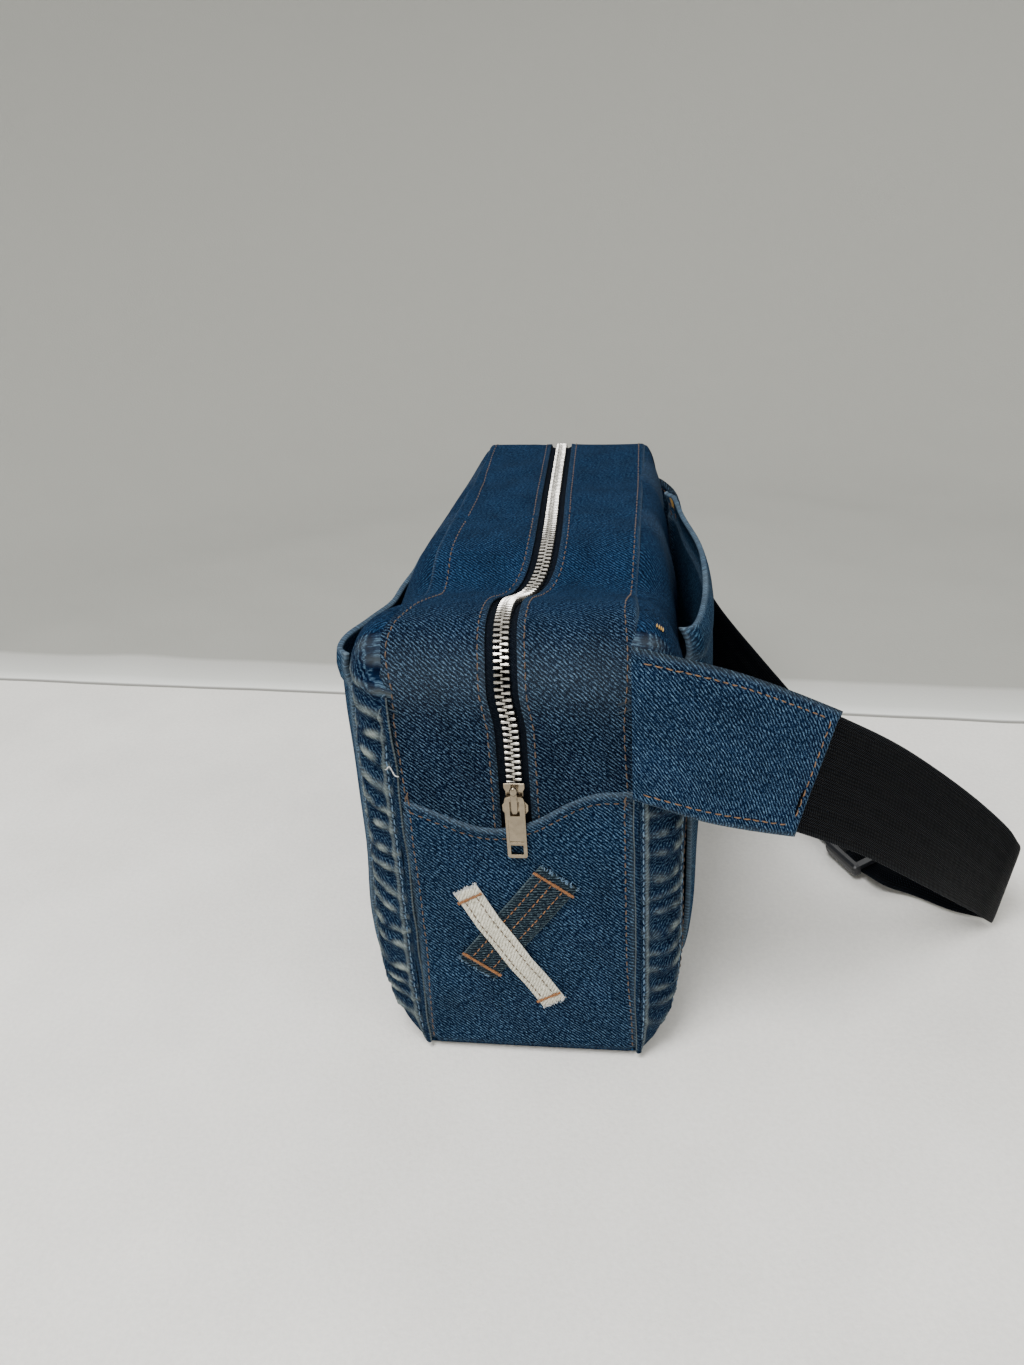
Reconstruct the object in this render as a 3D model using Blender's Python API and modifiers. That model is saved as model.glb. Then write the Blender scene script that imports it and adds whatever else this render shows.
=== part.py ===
"""Denim waist pack: a zipped box bag with two patch pockets, a webbing waist strap and a side-release buckle.

Metres, +Z up. +X is the end where the closed zip's slider sits, +Y is the side worn against the body.
The origin is the middle of the flat base. Each sub-part is one closed solid, 0.3 mm or more from the next.
"""

import math

import bmesh
import bpy
from mathutils import Matrix, Vector

# Driving dimensions of the bag body
HALF_LENGTH = 0.158  # outer face of the zip strips on the end
HALF_WIDTH = 0.0475  # side seam to side seam, halved
TOP = 0.205
CORNER_RADIUS = 0.024  # where the zip strips turn from the end face to the top
GAP = 0.0003

DENIM = 0.0024  # a strip's two layers
GUSSET = 0.0017
PANEL = 0.0026
POCKET = 0.0020
TAPE = 0.0009
FLAP_HALF_LENGTH = 0.125  # the stretch of the mouth that opens
STRIP_FOOT = 0.112  # the strips and the zip end here, behind the end gusset

# Zip
TAPE_SHOWS = 0.00625  # half of the gap between the two denim edges
TAPE_REACH = 0.012
TOOTH_INNER, TOOTH_OUTER = 0.0006, 0.0032
TEETH_FOOT = 0.1365
SLIDER_FOOT, SLIDER_HEAD = 0.132, 0.1465
PULL_HINGE = Vector((0.1610, 0, 0.1405))
PULL_LENGTH, PULL_HALF_WIDTH, PULL_THICKNESS = 0.028, 0.004, 0.0014

# Front and back panels
PANEL_HALF_LENGTH = 0.1385
SIDE_STRIP_EDGE = 0.1578
PANEL_LOW, PANEL_HIGH = 0.0045, 0.2005
PANEL_BASE = 0.0505  # the panel's rim, from the middle plane
PANEL_BULGE = 0.0185
PANEL_HALF_HEIGHT = 0.0981
PANEL_REACH = 0.1588  # the bulge dies out this far from the middle
END_SHARPNESS, RIM_SHARPNESS = 16, 6  # how suddenly the bulge dies out at the ends and at the rims
FAR_SLACK = 0.6  # how much less the panels bulge at the far end

# Strap
WEBBING_WIDTH, WEBBING = 0.050, 0.0018
WING = 0.0040
WING_ROOT_WIDTH, WING_END_WIDTH = 0.063, 0.054

# Buckle, along its own X from the webbing's slot to the far end, its own Z up
BUCKLE_MIDDLE = Vector((0.0132, 0.1895, 0.0118))
BUCKLE_ALONG = Vector((-0.887, -0.461, 0))
BUCKLE_ACROSS = Vector((0.45, -0.87, -0.2))
FRAME_LENGTH, FRAME_HALF_WIDTH = 0.028, 0.030
FEMALE_END, FEMALE_HALF_WIDTH = 0.076, 0.0255
ARM_HINGE_X, ARM_HINGE_Y = 0.0290, 0.0165


def clear_scene():
    for obj in list(bpy.data.objects):
        bpy.data.objects.remove(obj, do_unlink=True)


def new_collection(name):
    collection = bpy.data.collections.new(name)
    bpy.context.scene.collection.children.link(collection)
    return collection


def material(name, color, roughness, metallic=0.0):
    made = bpy.data.materials.new(name)
    made.use_nodes = True
    shader = made.node_tree.nodes["Principled BSDF"]
    shader.inputs["Base Color"].default_value = (*color, 1)
    shader.inputs["Roughness"].default_value = roughness
    shader.inputs["Metallic"].default_value = metallic
    return made


def place(name, data, finish, matrix=None, collection=None):
    obj = bpy.data.objects.new(name, data)
    obj.matrix_world = matrix or Matrix.Identity(4)
    data.materials.append(finish)
    (collection or PARTS).objects.link(obj)
    return obj


def box(name, low, high, finish, bevel=0.0, matrix=None, collection=None):
    """A block between two corners, with rounded edges where bevel is given."""
    low, high = Vector(low), Vector(high)
    mesh = bpy.data.meshes.new(name)
    bm = bmesh.new()
    bmesh.ops.create_cube(bm, size=1)
    bmesh.ops.scale(bm, vec=high - low, verts=bm.verts)
    bmesh.ops.translate(bm, vec=(low + high) / 2, verts=bm.verts)
    bm.to_mesh(mesh)
    bm.free()
    obj = place(name, mesh, finish, matrix, collection)
    if bevel:
        rounding = obj.modifiers.new("rounding", "BEVEL")
        rounding.width = bevel
        rounding.segments = 2
    return obj


def plate(name, outline, thickness, finish, matrix):
    """A flat outline, drawn in its own XY, given thickness on both sides of that plane."""
    curve = bpy.data.curves.new(name, "CURVE")
    curve.dimensions = "2D"
    curve.fill_mode = "BOTH"
    curve.extrude = thickness / 2
    spline = curve.splines.new("POLY")
    spline.points.add(len(outline) - 1)
    for point, (x, y) in zip(spline.points, outline):
        point.co = (x, y, 0, 1)
    spline.use_cyclic_u = True
    return place(name, curve, finish, matrix)


def axes(origin, x, y):
    """The matrix that carries a piece's own X and Y to these directions."""
    x = Vector(x).normalized()
    y = (Vector(y) - x * x.dot(Vector(y))).normalized()
    turned = Matrix((x, y, x.cross(y))).transposed().to_4x4()
    return Matrix.Translation(origin) @ turned


def cloth(name, shape, columns, rows, thickness, offset, finish):
    """A sheet through shape(u, v), u and v from 0 to 1, thickened towards -1 or +1 of its normal."""
    mesh = bpy.data.meshes.new(name)
    bm = bmesh.new()
    bmesh.ops.create_grid(bm, x_segments=columns, y_segments=rows, size=0.5)
    for vert in bm.verts:
        vert.co = shape(vert.co.x + 0.5, vert.co.y + 0.5)
    bm.to_mesh(mesh)
    bm.free()
    obj = place(name, mesh, finish)
    shell = obj.modifiers.new("shell", "SOLIDIFY")
    shell.thickness = thickness
    shell.offset = offset
    return obj


def union(obj, other):
    join(obj, other, "UNION")


def cut(obj, other):
    join(obj, other, "DIFFERENCE")


def join(obj, other, operation):
    other.hide_render = True
    other.display_type = "WIRE"
    change = obj.modifiers.new(other.name, "BOOLEAN")
    change.operation = operation
    change.solver = "EXACT"
    change.object = other


def smooth_path(points, each):
    """Points along a smooth curve through these ones (Catmull-Rom)."""
    points = [Vector(p) for p in points]
    ends = [2 * points[0] - points[1], *points, 2 * points[-1] - points[-2]]
    made = []
    for a, b, c, d in zip(ends, ends[1:], ends[2:], ends[3:]):
        for step in range(each):
            t = step / each
            made.append(
                0.5 * (2 * b + (c - a) * t + (2 * a - 5 * b + 4 * c - d) * t * t
                       + (3 * b - a - 3 * c + d) * t ** 3)
            )
    return made + [points[-1]]


# The zip strips' path: up the end face, round the corner, along the top


def corner_path(depth, foot, inner_end, steps=8):
    """(x, z) points of the path, this far inside the strips' outer face."""
    radius = CORNER_RADIUS - depth
    middle_x, middle_z = HALF_LENGTH - CORNER_RADIUS, TOP - CORNER_RADIUS
    turn = [i / steps * math.pi / 2 for i in range(steps + 1)]
    arc = [(middle_x + radius * math.cos(a), middle_z + radius * math.sin(a)) for a in turn]
    return [(HALF_LENGTH - depth, foot), *arc, (inner_end, TOP - depth)]


def corner_band(name, end, y_low, y_high, depth, thickness, foot, finish):
    """A band that follows the corner path between two Y, at the near (+1) or far (-1) end."""
    inner_end = FLAP_HALF_LENGTH + GAP
    outer = corner_path(depth, foot, inner_end)
    inner = corner_path(depth + thickness, foot, inner_end)
    outline = [(end * x, z) for x, z in outer + inner[::-1]]
    matrix = axes((0, (y_low + y_high) / 2, 0), (1, 0, 0), (0, 0, 1))
    return plate(name, outline, y_high - y_low, finish, matrix)


def top_band(name, y_low, y_high, depth, thickness, finish):
    low = (-FLAP_HALF_LENGTH, y_low, TOP - depth - thickness)
    high = (FLAP_HALF_LENGTH, y_high, TOP - depth)
    return box(name, low, high, finish)


def mouth():
    """Front and back halves: denim strip, zip tape and row of teeth, each in an end, a middle and an end."""
    layers = (
        ("strip", TAPE_SHOWS, HALF_WIDTH, 0.0, DENIM, STRIP_FOOT, DENIM_BLUE),
        ("tape", TOOTH_OUTER + GAP, TAPE_REACH, DENIM + 0.0004, TAPE, STRIP_FOOT, BLACK_TAPE),
        ("teeth", TOOTH_INNER, TOOTH_OUTER, 0.0006, 0.0029, TEETH_FOOT, NICKEL),
    )
    for side, sign in (("front", -1), ("back", 1)):
        for layer, inner, outer, depth, thickness, foot, finish in layers:
            y_low, y_high = sorted((sign * inner, sign * outer))
            for place_name, end in (("near", 1), ("far", -1)):
                name = f"{side}_{layer}_{place_name}"
                corner_band(name, end, y_low, y_high, depth, thickness, foot, finish)
            top_band(f"{side}_{layer}_top", y_low, y_high, depth, thickness, finish)


# End gussets, base and the crossed belt loops


def gusset_edge(y):
    """Height of the gusset's folded top edge, which dips under the end of the zip."""
    t = y / HALF_WIDTH
    return 0.1405 + 0.002 * t - 0.0165 * math.cos(math.pi / 2 * min(1, abs(t + 0.18))) ** 2


def gussets():
    steps = 16
    ys = [HALF_WIDTH * (1 - 2 * i / steps) for i in range(steps + 1)]
    low = 0.0033
    outline = [(-HALF_WIDTH, low), (HALF_WIDTH, low)] + [(y, gusset_edge(y)) for y in ys]
    for name, end in (("near", 1), ("far", -1)):
        middle = end * (HALF_LENGTH + GAP + GUSSET / 2)
        matrix = axes((middle, 0, 0), (0, end, 0), (0, 0, 1))
        plate(f"{name}_end_gusset", outline, GUSSET, DENIM_BLUE, matrix)
    half = HALF_LENGTH + GAP + GUSSET
    box("bottom_panel", (-half, -HALF_WIDTH, 0), (half, HALF_WIDTH, 0.003), DENIM_BLUE)


def belt_loop(name, start, end, width, crossing, lift, finish):
    """A flat loop sewn on the near gusset from start to end, (y, z) of its ends, raised where it crosses."""
    face = HALF_LENGTH + 2 * GAP + GUSSET
    start, end = (Vector((face, *p)) for p in (start, end))
    length = (end - start).length
    thick = 0.0015
    rise = [(0, 0), (crossing - 0.30, 0), (crossing - 0.21, lift)]
    rise += [(crossing + 0.21, lift), (crossing + 0.30, 0), (1, 0)]
    outline = [(t * length, x) for t, x in rise] + [(t * length, x + thick) for t, x in rise[::-1]]
    across = (end - start).normalized()
    plate(name, outline, width, finish, axes(start, across, (1, 0, 0)))


# Front and back panels, their side strips and pockets


def rounded(t, power):
    return math.sqrt(max(0.0, 1 - abs(t) ** power))


def panel_y(x, z):
    """Distance of a panel's outer face from the middle plane."""
    middle = (PANEL_LOW + PANEL_HIGH) / 2
    full = 1 - FAR_SLACK * (0.5 - x / (2 * HALF_LENGTH)) ** 2
    along = rounded(x / PANEL_REACH, END_SHARPNESS)
    upright = rounded((z - middle) / PANEL_HALF_HEIGHT, RIM_SHARPNESS)
    return PANEL_BASE + PANEL_BULGE * full * along * upright


def panel_top(x):
    """Height of a panel's upper rim, which rounds off over the corners of the zip strips."""
    past = max(0.0, abs(x) - (HALF_LENGTH - CORNER_RADIUS))
    return PANEL_HIGH - CORNER_RADIUS + math.sqrt(CORNER_RADIUS ** 2 - past ** 2)


def panel_part(name, sign, x_low, x_high, columns, rows, finish):
    def shape(u, v):
        x = x_low + (x_high - x_low) * u
        z = PANEL_LOW + (panel_top(x) - PANEL_LOW) * v
        return x, sign * panel_y(x, z), z

    return cloth(name, shape, columns, rows, PANEL, sign, finish)


def pocket(name, sign, middle, half, low, high, depth):
    """A patch pocket whose mouth stands depth off the panel and whose other edges lie on it."""

    def shape(u, v):
        x = middle + half * (2 * u - 1)
        z = low + (high - low) * v
        away = depth * rounded(2 * u - 1, 4) * v ** 0.7
        return x, sign * (panel_y(x, z) + 3 * GAP + away), z

    return cloth(name, shape, 16, 10, POCKET, -sign, DENIM_LIGHT)


def panels():
    for side, sign in (("front", -1), ("back", 1)):
        half = PANEL_HALF_LENGTH
        panel_part(f"{side}_panel", sign, -half, half, 16, 12, DENIM_BLUE)
        inner = half + 2 * GAP
        panel_part(f"{side}_seam_strip_near", sign, inner, SIDE_STRIP_EDGE, 4, 12, DENIM_FADED)
        panel_part(f"{side}_seam_strip_far", sign, -SIDE_STRIP_EDGE, -inner, 4, 12, DENIM_FADED)
    pocket("front_pocket", -1, 0.0, 0.132, 0.016, 0.190, 0.0115)
    pocket("back_pocket", 1, 0.0175, 0.0925, 0.018, 0.190, 0.015)


# Zip slider and pull


def slider():
    """Two plates joined by a thin keel between the tooth rows, with side walls, a cap and a pull."""
    outer = (HALF_LENGTH, HALF_LENGTH + 0.0012)
    inner = (HALF_LENGTH - 0.0053, HALF_LENGTH - 0.0041)
    half, shoulder, keel = 0.0043, 0.0052, 0.0003
    body = box("slider_body", (outer[0], -half, SLIDER_FOOT), (outer[1], half, SLIDER_HEAD), NICKEL)
    low, high = SLIDER_FOOT, SLIDER_HEAD
    extras = {
        "slider_inner_plate": ((inner[0], -half, low), (inner[1], half, high)),
        "slider_keel": ((inner[0] + 0.0005, -keel, low + 0.0005), (outer[1] - 0.0005, keel, low + 0.006)),
        "slider_shoulders": ((outer[0], -shoulder, low + 0.001), (outer[1], shoulder, low + 0.005)),
        "slider_wall_front": ((outer[0] - 0.0012, -half, low), (outer[0] + 0.0006, -half + 0.0006, high)),
        "slider_wall_back": ((outer[0] - 0.0012, half - 0.0006, low), (outer[0] + 0.0006, half, high)),
    }
    for name, (corner, opposite) in extras.items():
        union(body, box(name, corner, opposite, NICKEL, collection=CUTTERS))

    # The cap is an arch over the pull's bar, standing on the outer plate.
    foot = outer[1] + GAP
    inside, outside = PULL_HINGE.x + 0.0012, PULL_HINGE.x + 0.0025
    arch = [
        (0.1340, foot), (0.1340, outside - 0.0006), (0.1352, outside), (0.1440, outside),
        (0.1455, outside - 0.0008), (0.1455, foot), (0.1441, foot), (0.1436, inside),
        (0.1356, inside), (0.1353, foot),
    ]
    plate("slider_cap", [(x, z) for z, x in arch], 0.0028, NICKEL, axes((0, 0, 0), (1, 0, 0), (0, 0, 1)))

    half, thick = PULL_HALF_WIDTH, PULL_THICKNESS / 2
    hinge = Matrix.Translation(PULL_HINGE)
    pull = box("pull_tab", (-thick, -half, -PULL_LENGTH), (thick, half, thick), NICKEL, matrix=hinge)
    windows = {
        "pull_cap_window": ((-0.003, -0.0023, -0.0118), (0.003, 0.0023, -thick)),
        "pull_tip_window": ((-0.003, -0.0024, -0.0262), (0.003, 0.0024, -0.0222)),
    }
    for name, (corner, opposite) in windows.items():
        cut(pull, box(name, corner, opposite, NICKEL, matrix=hinge, collection=CUTTERS))


# Strap: wings, webbing and buckle


def ribbon(name, stations, widths, thickness, finish, each, across=1):
    """A band of cloth or webbing. A station is its middle point and the direction across it."""
    points = smooth_path([Vector((*middle, *side)) for middle, side in stations], each)
    last = len(points) - 1

    def shape(u, v):
        point = points[round(u * last)]
        middle, side = Vector(point[:3]), Vector(point[3:]).normalized()
        width = widths[0] + (widths[1] - widths[0]) * u
        return middle + side * width * (v - 0.5)

    return cloth(name, shape, last, across, thickness, 0.0, finish)


NEAR_WING_STATIONS = [
    ((0.1606, 0.0482, 0.1715), (0.00, 0.00, 1.00)),
    ((0.1603, 0.0560, 0.1695), (-0.02, 0.02, 1.00)),
    ((0.1575, 0.0680, 0.1655), (-0.09, 0.07, 0.98)),
    ((0.1492, 0.0900, 0.1552), (-0.28, 0.22, 0.93)),
    ((0.1360, 0.1212, 0.1384), (-0.45, 0.35, 0.82)),
]
NEAR_WEBBING_STATIONS = [
    ((0.1353, 0.1224, 0.1374), (-0.45, 0.35, 0.82)),
    ((0.1140, 0.1520, 0.1117), (-0.44, 0.32, 0.84)),
    ((0.0920, 0.1860, 0.0780), (-0.30, 0.27, 0.91)),
    ((0.0730, 0.2145, 0.0470), (-0.09, 0.21, 0.97)),
]
# The stretch that stands on the floor and gives way when the buckle opens
NEAR_WEBBING_TAIL_STATIONS = [
    ((0.0728, 0.2150, 0.0465), (-0.08, 0.20, 0.97)),
    ((0.0625, 0.2290, 0.0280), (0.08, 0.09, 0.99)),
    ((0.0550, 0.2280, 0.0256), (0.02, 0.20, 0.98)),
    ((0.0475, 0.2190, 0.0245), (-0.10, 0.38, 0.92)),
    ((0.0310, 0.2055, 0.0205), (-0.28, 0.62, 0.73)),
]
FAR_WING_STATIONS = [
    ((-0.1606, 0.0482, 0.1450), (0.00, 0.00, 1.00)),
    ((-0.1602, 0.0560, 0.1440), (0.00, 0.05, 1.00)),
    ((-0.1510, 0.0640, 0.1400), (0.15, 0.08, 0.98)),
    ((-0.1290, 0.0690, 0.1310), (0.40, 0.08, 0.91)),
    ((-0.1060, 0.0740, 0.1230), (0.52, 0.10, 0.85)),
]
FAR_WEBBING_STATIONS = [
    ((-0.1053, 0.0743, 0.1226), (0.52, 0.10, 0.85)),
    ((-0.0960, 0.0870, 0.0940), (0.42, 0.28, 0.86)),
    ((-0.0880, 0.1070, 0.0620), (0.22, 0.55, 0.81)),
    ((-0.0870, 0.1280, 0.0310), (-0.05, 0.78, 0.62)),
    ((-0.0760, 0.1425, 0.0150), (-0.35, 0.87, 0.35)),
]


def strap():
    wing_widths = (WING_ROOT_WIDTH, WING_END_WIDTH)
    webbing_widths = (WEBBING_WIDTH, WEBBING_WIDTH)
    ribbon("near_wing", NEAR_WING_STATIONS, wing_widths, WING, DENIM_BLUE, 4, 4)
    ribbon("far_wing", FAR_WING_STATIONS, wing_widths, WING, DENIM_BLUE, 4, 4)

    # Inside the frame the webbing goes under the end bar, over the ladder bar and down behind it.
    frame = axes(BUCKLE_MIDDLE, BUCKLE_ALONG, BUCKLE_ACROSS)
    across = frame.to_3x3() @ Vector((0, -1, 0))
    through = ((-0.0100, 0.0010), (0.0020, -0.0019), (0.0072, 0.0000), (0.0120, 0.0022), (0.0165, 0.0000))
    near_tail = [(frame @ Vector((x, 0, z)), across) for x, z in through]
    ribbon("near_webbing", NEAR_WEBBING_STATIONS, webbing_widths, WEBBING, BLACK_WEBBING, 4)
    tail = NEAR_WEBBING_TAIL_STATIONS + near_tail
    ribbon("near_webbing_tail", tail, webbing_widths, WEBBING, BLACK_WEBBING, 4)

    # At the far end it comes in over the end bar and down through the slot.
    down = ((0.0840, 0.0020), (0.0780, 0.0037), (0.0735, 0.0037), (0.0690, 0.0010), (0.0680, -0.0030))
    far_tail = [(frame @ Vector((x, 0, z)), across) for x, z in down]
    ribbon("far_webbing", FAR_WEBBING_STATIONS + far_tail, webbing_widths, WEBBING, BLACK_WEBBING, 4)
    return frame


def buckle(frame):
    """Side-release buckle: a ladder-lock frame with a guide rib and two spring arms, and a socket."""

    def piece(name, corner, opposite, bevel=0.0, collection=CUTTERS):
        return box(name, corner, opposite, BLACK_PLASTIC, bevel, frame, collection)

    half = FRAME_HALF_WIDTH
    male = piece("buckle_male", (0, -half, -0.0035), (FRAME_LENGTH, half, 0.0035), 0.0022, PARTS)
    slot_half = WEBBING_WIDTH / 2 + 0.0008
    cut(male, piece("male_slot", (0.0, -slot_half, -0.006), (0.0205, slot_half, 0.006)))
    union(male, piece("male_end_bar", (0.0006, -half + 0.002, 0.0002), (0.0042, half - 0.002, 0.0030)))
    union(male, piece("male_ladder_bar", (0.0103, -half + 0.002, -0.0028), (0.0137, half - 0.002, 0.0003)))
    union(male, piece("male_guide", (0.026, -0.0045, -0.0022), (0.052, 0.0045, 0.0022)))

    for name, sign in (("front", 1), ("back", -1)):
        hinge = frame @ Matrix.Translation((ARM_HINGE_X, sign * ARM_HINGE_Y, 0))
        outline = [
            (-0.0006, -0.0022), (0.0210, -0.0012), (0.0235, 0.0020), (0.0225, 0.0078), (0.0150, 0.0086),
            (0.0100, 0.0075), (0.0085, 0.0030), (-0.0006, 0.0022),
        ]
        arm = [(x, sign * y) for x, y in outline]
        plate(f"buckle_arm_{name}", arm, 0.0046, BLACK_PLASTIC, hinge)

    start, end, half = FRAME_LENGTH + GAP, FEMALE_END, FEMALE_HALF_WIDTH
    female = piece("buckle_female", (start, -half, -0.0055), (end - 0.012, half, 0.0055), 0.0020, PARTS)
    union(female, piece("female_end", (end - 0.016, -0.030, -0.0045), (end, 0.030, 0.0045), 0.0015))
    cut(female, piece("female_socket", (start - 0.002, -0.05, -0.0030), (0.0560, 0.05, 0.0030)))
    union(female, piece("female_spine_low", (0.0535, -0.0035, -0.0040), (0.0600, 0.0035, 0.0040)))
    cut(female, piece("female_slot", (0.0635, -slot_half, -0.008), (0.0720, slot_half, 0.008)))
    cut(female, piece("female_bar_relief", (0.0715, -slot_half, 0.0020), (end + 0.002, slot_half, 0.008)))


def build():
    mouth()
    gussets()
    belt_loop("dark_belt_loop", (0.016, 0.101), (-0.021, 0.052), 0.0195, 0.66, 0.0, DENIM_DARK)
    belt_loop("light_belt_loop", (-0.023, 0.094), (0.011, 0.035), 0.0115, 0.43, 0.0018, DENIM_CREAM)
    panels()
    slider()
    buckle(strap())


clear_scene()
PARTS = new_collection("waist_pack")
CUTTERS = new_collection("cutters")
DENIM_BLUE = material("denim", (0.018, 0.045, 0.085), 0.9)
DENIM_LIGHT = material("denim_pocket", (0.030, 0.065, 0.115), 0.9)
DENIM_FADED = material("denim_faded", (0.060, 0.095, 0.130), 0.9)
DENIM_DARK = material("denim_charcoal", (0.015, 0.022, 0.030), 0.9)
DENIM_CREAM = material("cream_twill", (0.42, 0.40, 0.34), 0.9)
BLACK_TAPE = material("zip_tape", (0.006, 0.008, 0.012), 0.85)
BLACK_WEBBING = material("webbing", (0.006, 0.008, 0.011), 0.6)
BLACK_PLASTIC = material("acetal", (0.008, 0.009, 0.011), 0.4)
NICKEL = material("nickel", (0.62, 0.56, 0.48), 0.3, 1.0)
build()
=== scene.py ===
"""Denim waist pack: the cloth, stitching, zip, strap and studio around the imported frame.

Metres, +Z up. +X is the end with the closed zip's slider, +Y the side with the waist strap.
"""
import math
import random

import bmesh
import bpy
import numpy as np
from mathutils import Matrix, Vector


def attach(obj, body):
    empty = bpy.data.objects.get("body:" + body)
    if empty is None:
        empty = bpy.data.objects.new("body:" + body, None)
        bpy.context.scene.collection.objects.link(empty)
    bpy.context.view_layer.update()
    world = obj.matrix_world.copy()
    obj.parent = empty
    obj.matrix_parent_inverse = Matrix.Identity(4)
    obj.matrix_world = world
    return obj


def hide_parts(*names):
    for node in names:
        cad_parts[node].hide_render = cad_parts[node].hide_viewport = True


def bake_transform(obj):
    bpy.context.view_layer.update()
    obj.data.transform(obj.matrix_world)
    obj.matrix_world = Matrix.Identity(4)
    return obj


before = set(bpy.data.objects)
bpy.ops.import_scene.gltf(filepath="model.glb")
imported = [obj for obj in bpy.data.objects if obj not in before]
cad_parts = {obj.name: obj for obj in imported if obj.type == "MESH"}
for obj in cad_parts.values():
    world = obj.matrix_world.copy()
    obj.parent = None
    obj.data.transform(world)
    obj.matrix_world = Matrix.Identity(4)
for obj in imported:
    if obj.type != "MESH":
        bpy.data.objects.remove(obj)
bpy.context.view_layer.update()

# Body, as in the frame
LENGTH, WIDTH, TOP, CORNER = 0.158, 0.0475, 0.205, 0.024
FLAP, FLAP_FULL = 0.125, 0.060  # a bend of the mouth would start at FLAP and be full inside FLAP_FULL; put() only bakes these pieces and bends nothing
FOOT = 0.114  # where the zip's strips start, under the gusset's top edge
TAPE_SHOWS = 0.00625  # from the zip's middle to the strips' edges
PANEL_LOW, PANEL_HIGH = 0.0032, 0.2036
PANEL_RIM, PANEL_BULGE, PANEL_REACH, FAR_SLACK = 0.0474, 0.0216, 0.1592, 0.6
STRIP_FROM, STRIP_TO = 0.1385, 0.1591
TOOTH_PITCH = 0.00274
LONG_SIDES = (("front", -1), ("back", 1))
ENDS = ((1, "near"), (-1, "far"))
RUNS = [(side, sign, end, place) for side, sign in LONG_SIDES for end, place in ENDS]

# Camera: where the picture was taken from
EYE = (0.508, 0.057, 0.372)
RIGHT = (-0.12458, 0.99034, -0.06073)
UP = (-0.45879, -0.00322, 0.88852)
LENS = 27.69


# Numbers along arrays


def smooth(t):
    t = np.clip(t, 0, 1)
    return t * t * (3 - 2 * t)


def bump(x, middle, half):
    return np.exp(-((x - middle) / half) ** 2)


def ripple(x, y, seed, size):
    """Soft unevenness between about -1 and 1, with features of this size."""
    pick = random.Random(seed)
    total = 0
    for step in range(7):
        angle = pick.uniform(0, math.tau)
        reach = size * pick.uniform(0.6, 1.9)
        wave = (x * math.cos(angle) + y * math.sin(angle)) / reach * math.tau
        total = total + np.sin(wave + pick.uniform(0, math.tau)) * (0.4 + 0.6 * reach / size) / 3.2
    return total


def stacked(*parts):
    """Coordinates side by side, each spread over the same grid."""
    return np.stack(np.broadcast_arrays(*parts), axis=-1)


# Meshes


def ring_faces(start, rings, count, around=True, caps=True):
    """Faces between rings of points that follow one another, and over the first and last ring."""
    faces = []
    for ring in range(rings - 1):
        a, b = start + ring * count, start + (ring + 1) * count
        for j in range(count if around else count - 1):
            k = (j + 1) % count
            faces.append((a + j, a + k, b + k, b + j))
    if caps:
        faces.append(tuple(range(start, start + count))[::-1])
        faces.append(tuple(range(start + (rings - 1) * count, start + rings * count)))
    return faces


def mesh_of(name, points, faces, finish):
    mesh = bpy.data.meshes.new(name)
    mesh.from_pydata(points, [], faces)
    mesh.materials.append(finish)
    return mesh


def surface(name, points, uv, finish, wear=None, thickness=0.0, offset=-1.0, around=False, caps=False):
    """A smooth mesh through a grid of points, with its cloth coordinates in metres and its wear."""
    rows, columns = points.shape[:2]
    faces = ring_faces(0, rows, columns, around, caps)
    mesh = mesh_of(name, points.reshape(-1, 3).tolist(), faces, finish)
    layer = mesh.uv_layers.new(name="cloth")
    flat = uv.reshape(-1, 2)
    index = np.zeros(len(mesh.loops), np.int32)
    mesh.loops.foreach_get("vertex_index", index)
    layer.data.foreach_set("uv", flat[index].astype(np.float32).ravel())
    worn = mesh.attributes.new("wear", "FLOAT", "POINT")
    if wear is not None:
        worn.data.foreach_set("value", np.broadcast_to(wear, (rows, columns)).astype(np.float32).ravel())
    mesh.shade_smooth()
    obj = link(name, mesh)
    if thickness:
        shell = obj.modifiers.new("cloth", "SOLIDIFY")
        shell.thickness = thickness
        shell.offset = offset
    return obj


def shade_by(obj, name, values):
    """Stores one more number per point for the finish to read."""
    layer = obj.data.attributes.new(name, "FLOAT", "POINT")
    layer.data.foreach_set("value", values.astype(np.float32).ravel())


def link(name, mesh):
    obj = bpy.data.objects.new(name, mesh)
    bpy.context.scene.collection.objects.link(obj)
    return obj


def put(obj, nodes=(), body="bag_body", bend=None):
    """Hides the CAD nodes the piece stands for and ties it to the body it moves with; when a bend is given,
    its transform is baked instead and it is tied to no body.
    """
    if nodes:
        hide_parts(*nodes)
    if bend:
        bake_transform(obj)
    else:
        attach(obj, body)
    return obj


def unit(vectors):
    return vectors / np.maximum(np.linalg.norm(vectors, axis=-1, keepdims=True), 1e-9)


def curve_through(points, each):
    """A smooth curve through these points, with this many steps between two of them."""
    points = [np.array(p, float) for p in points]
    ends = [2 * points[0] - points[1], *points, 2 * points[-1] - points[-2]]
    made = []
    for a, b, c, d in zip(ends, ends[1:], ends[2:], ends[3:]):
        for t in np.arange(each) / each:
            made.append(
                0.5 * (2 * b + (c - a) * t + (2 * a - 5 * b + 4 * c - d) * t * t
                       + (3 * b - a - 3 * c + d) * t ** 3)
            )
    return np.array(made + [points[-1]])


def travelled(points):
    """The distance along a path at each of its points."""
    return np.concatenate([[0], np.cumsum(np.linalg.norm(np.diff(points, axis=0), axis=1))])


def resample(values, along, places):
    return np.stack([np.interp(places, along, column) for column in values.T], axis=1)


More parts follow.
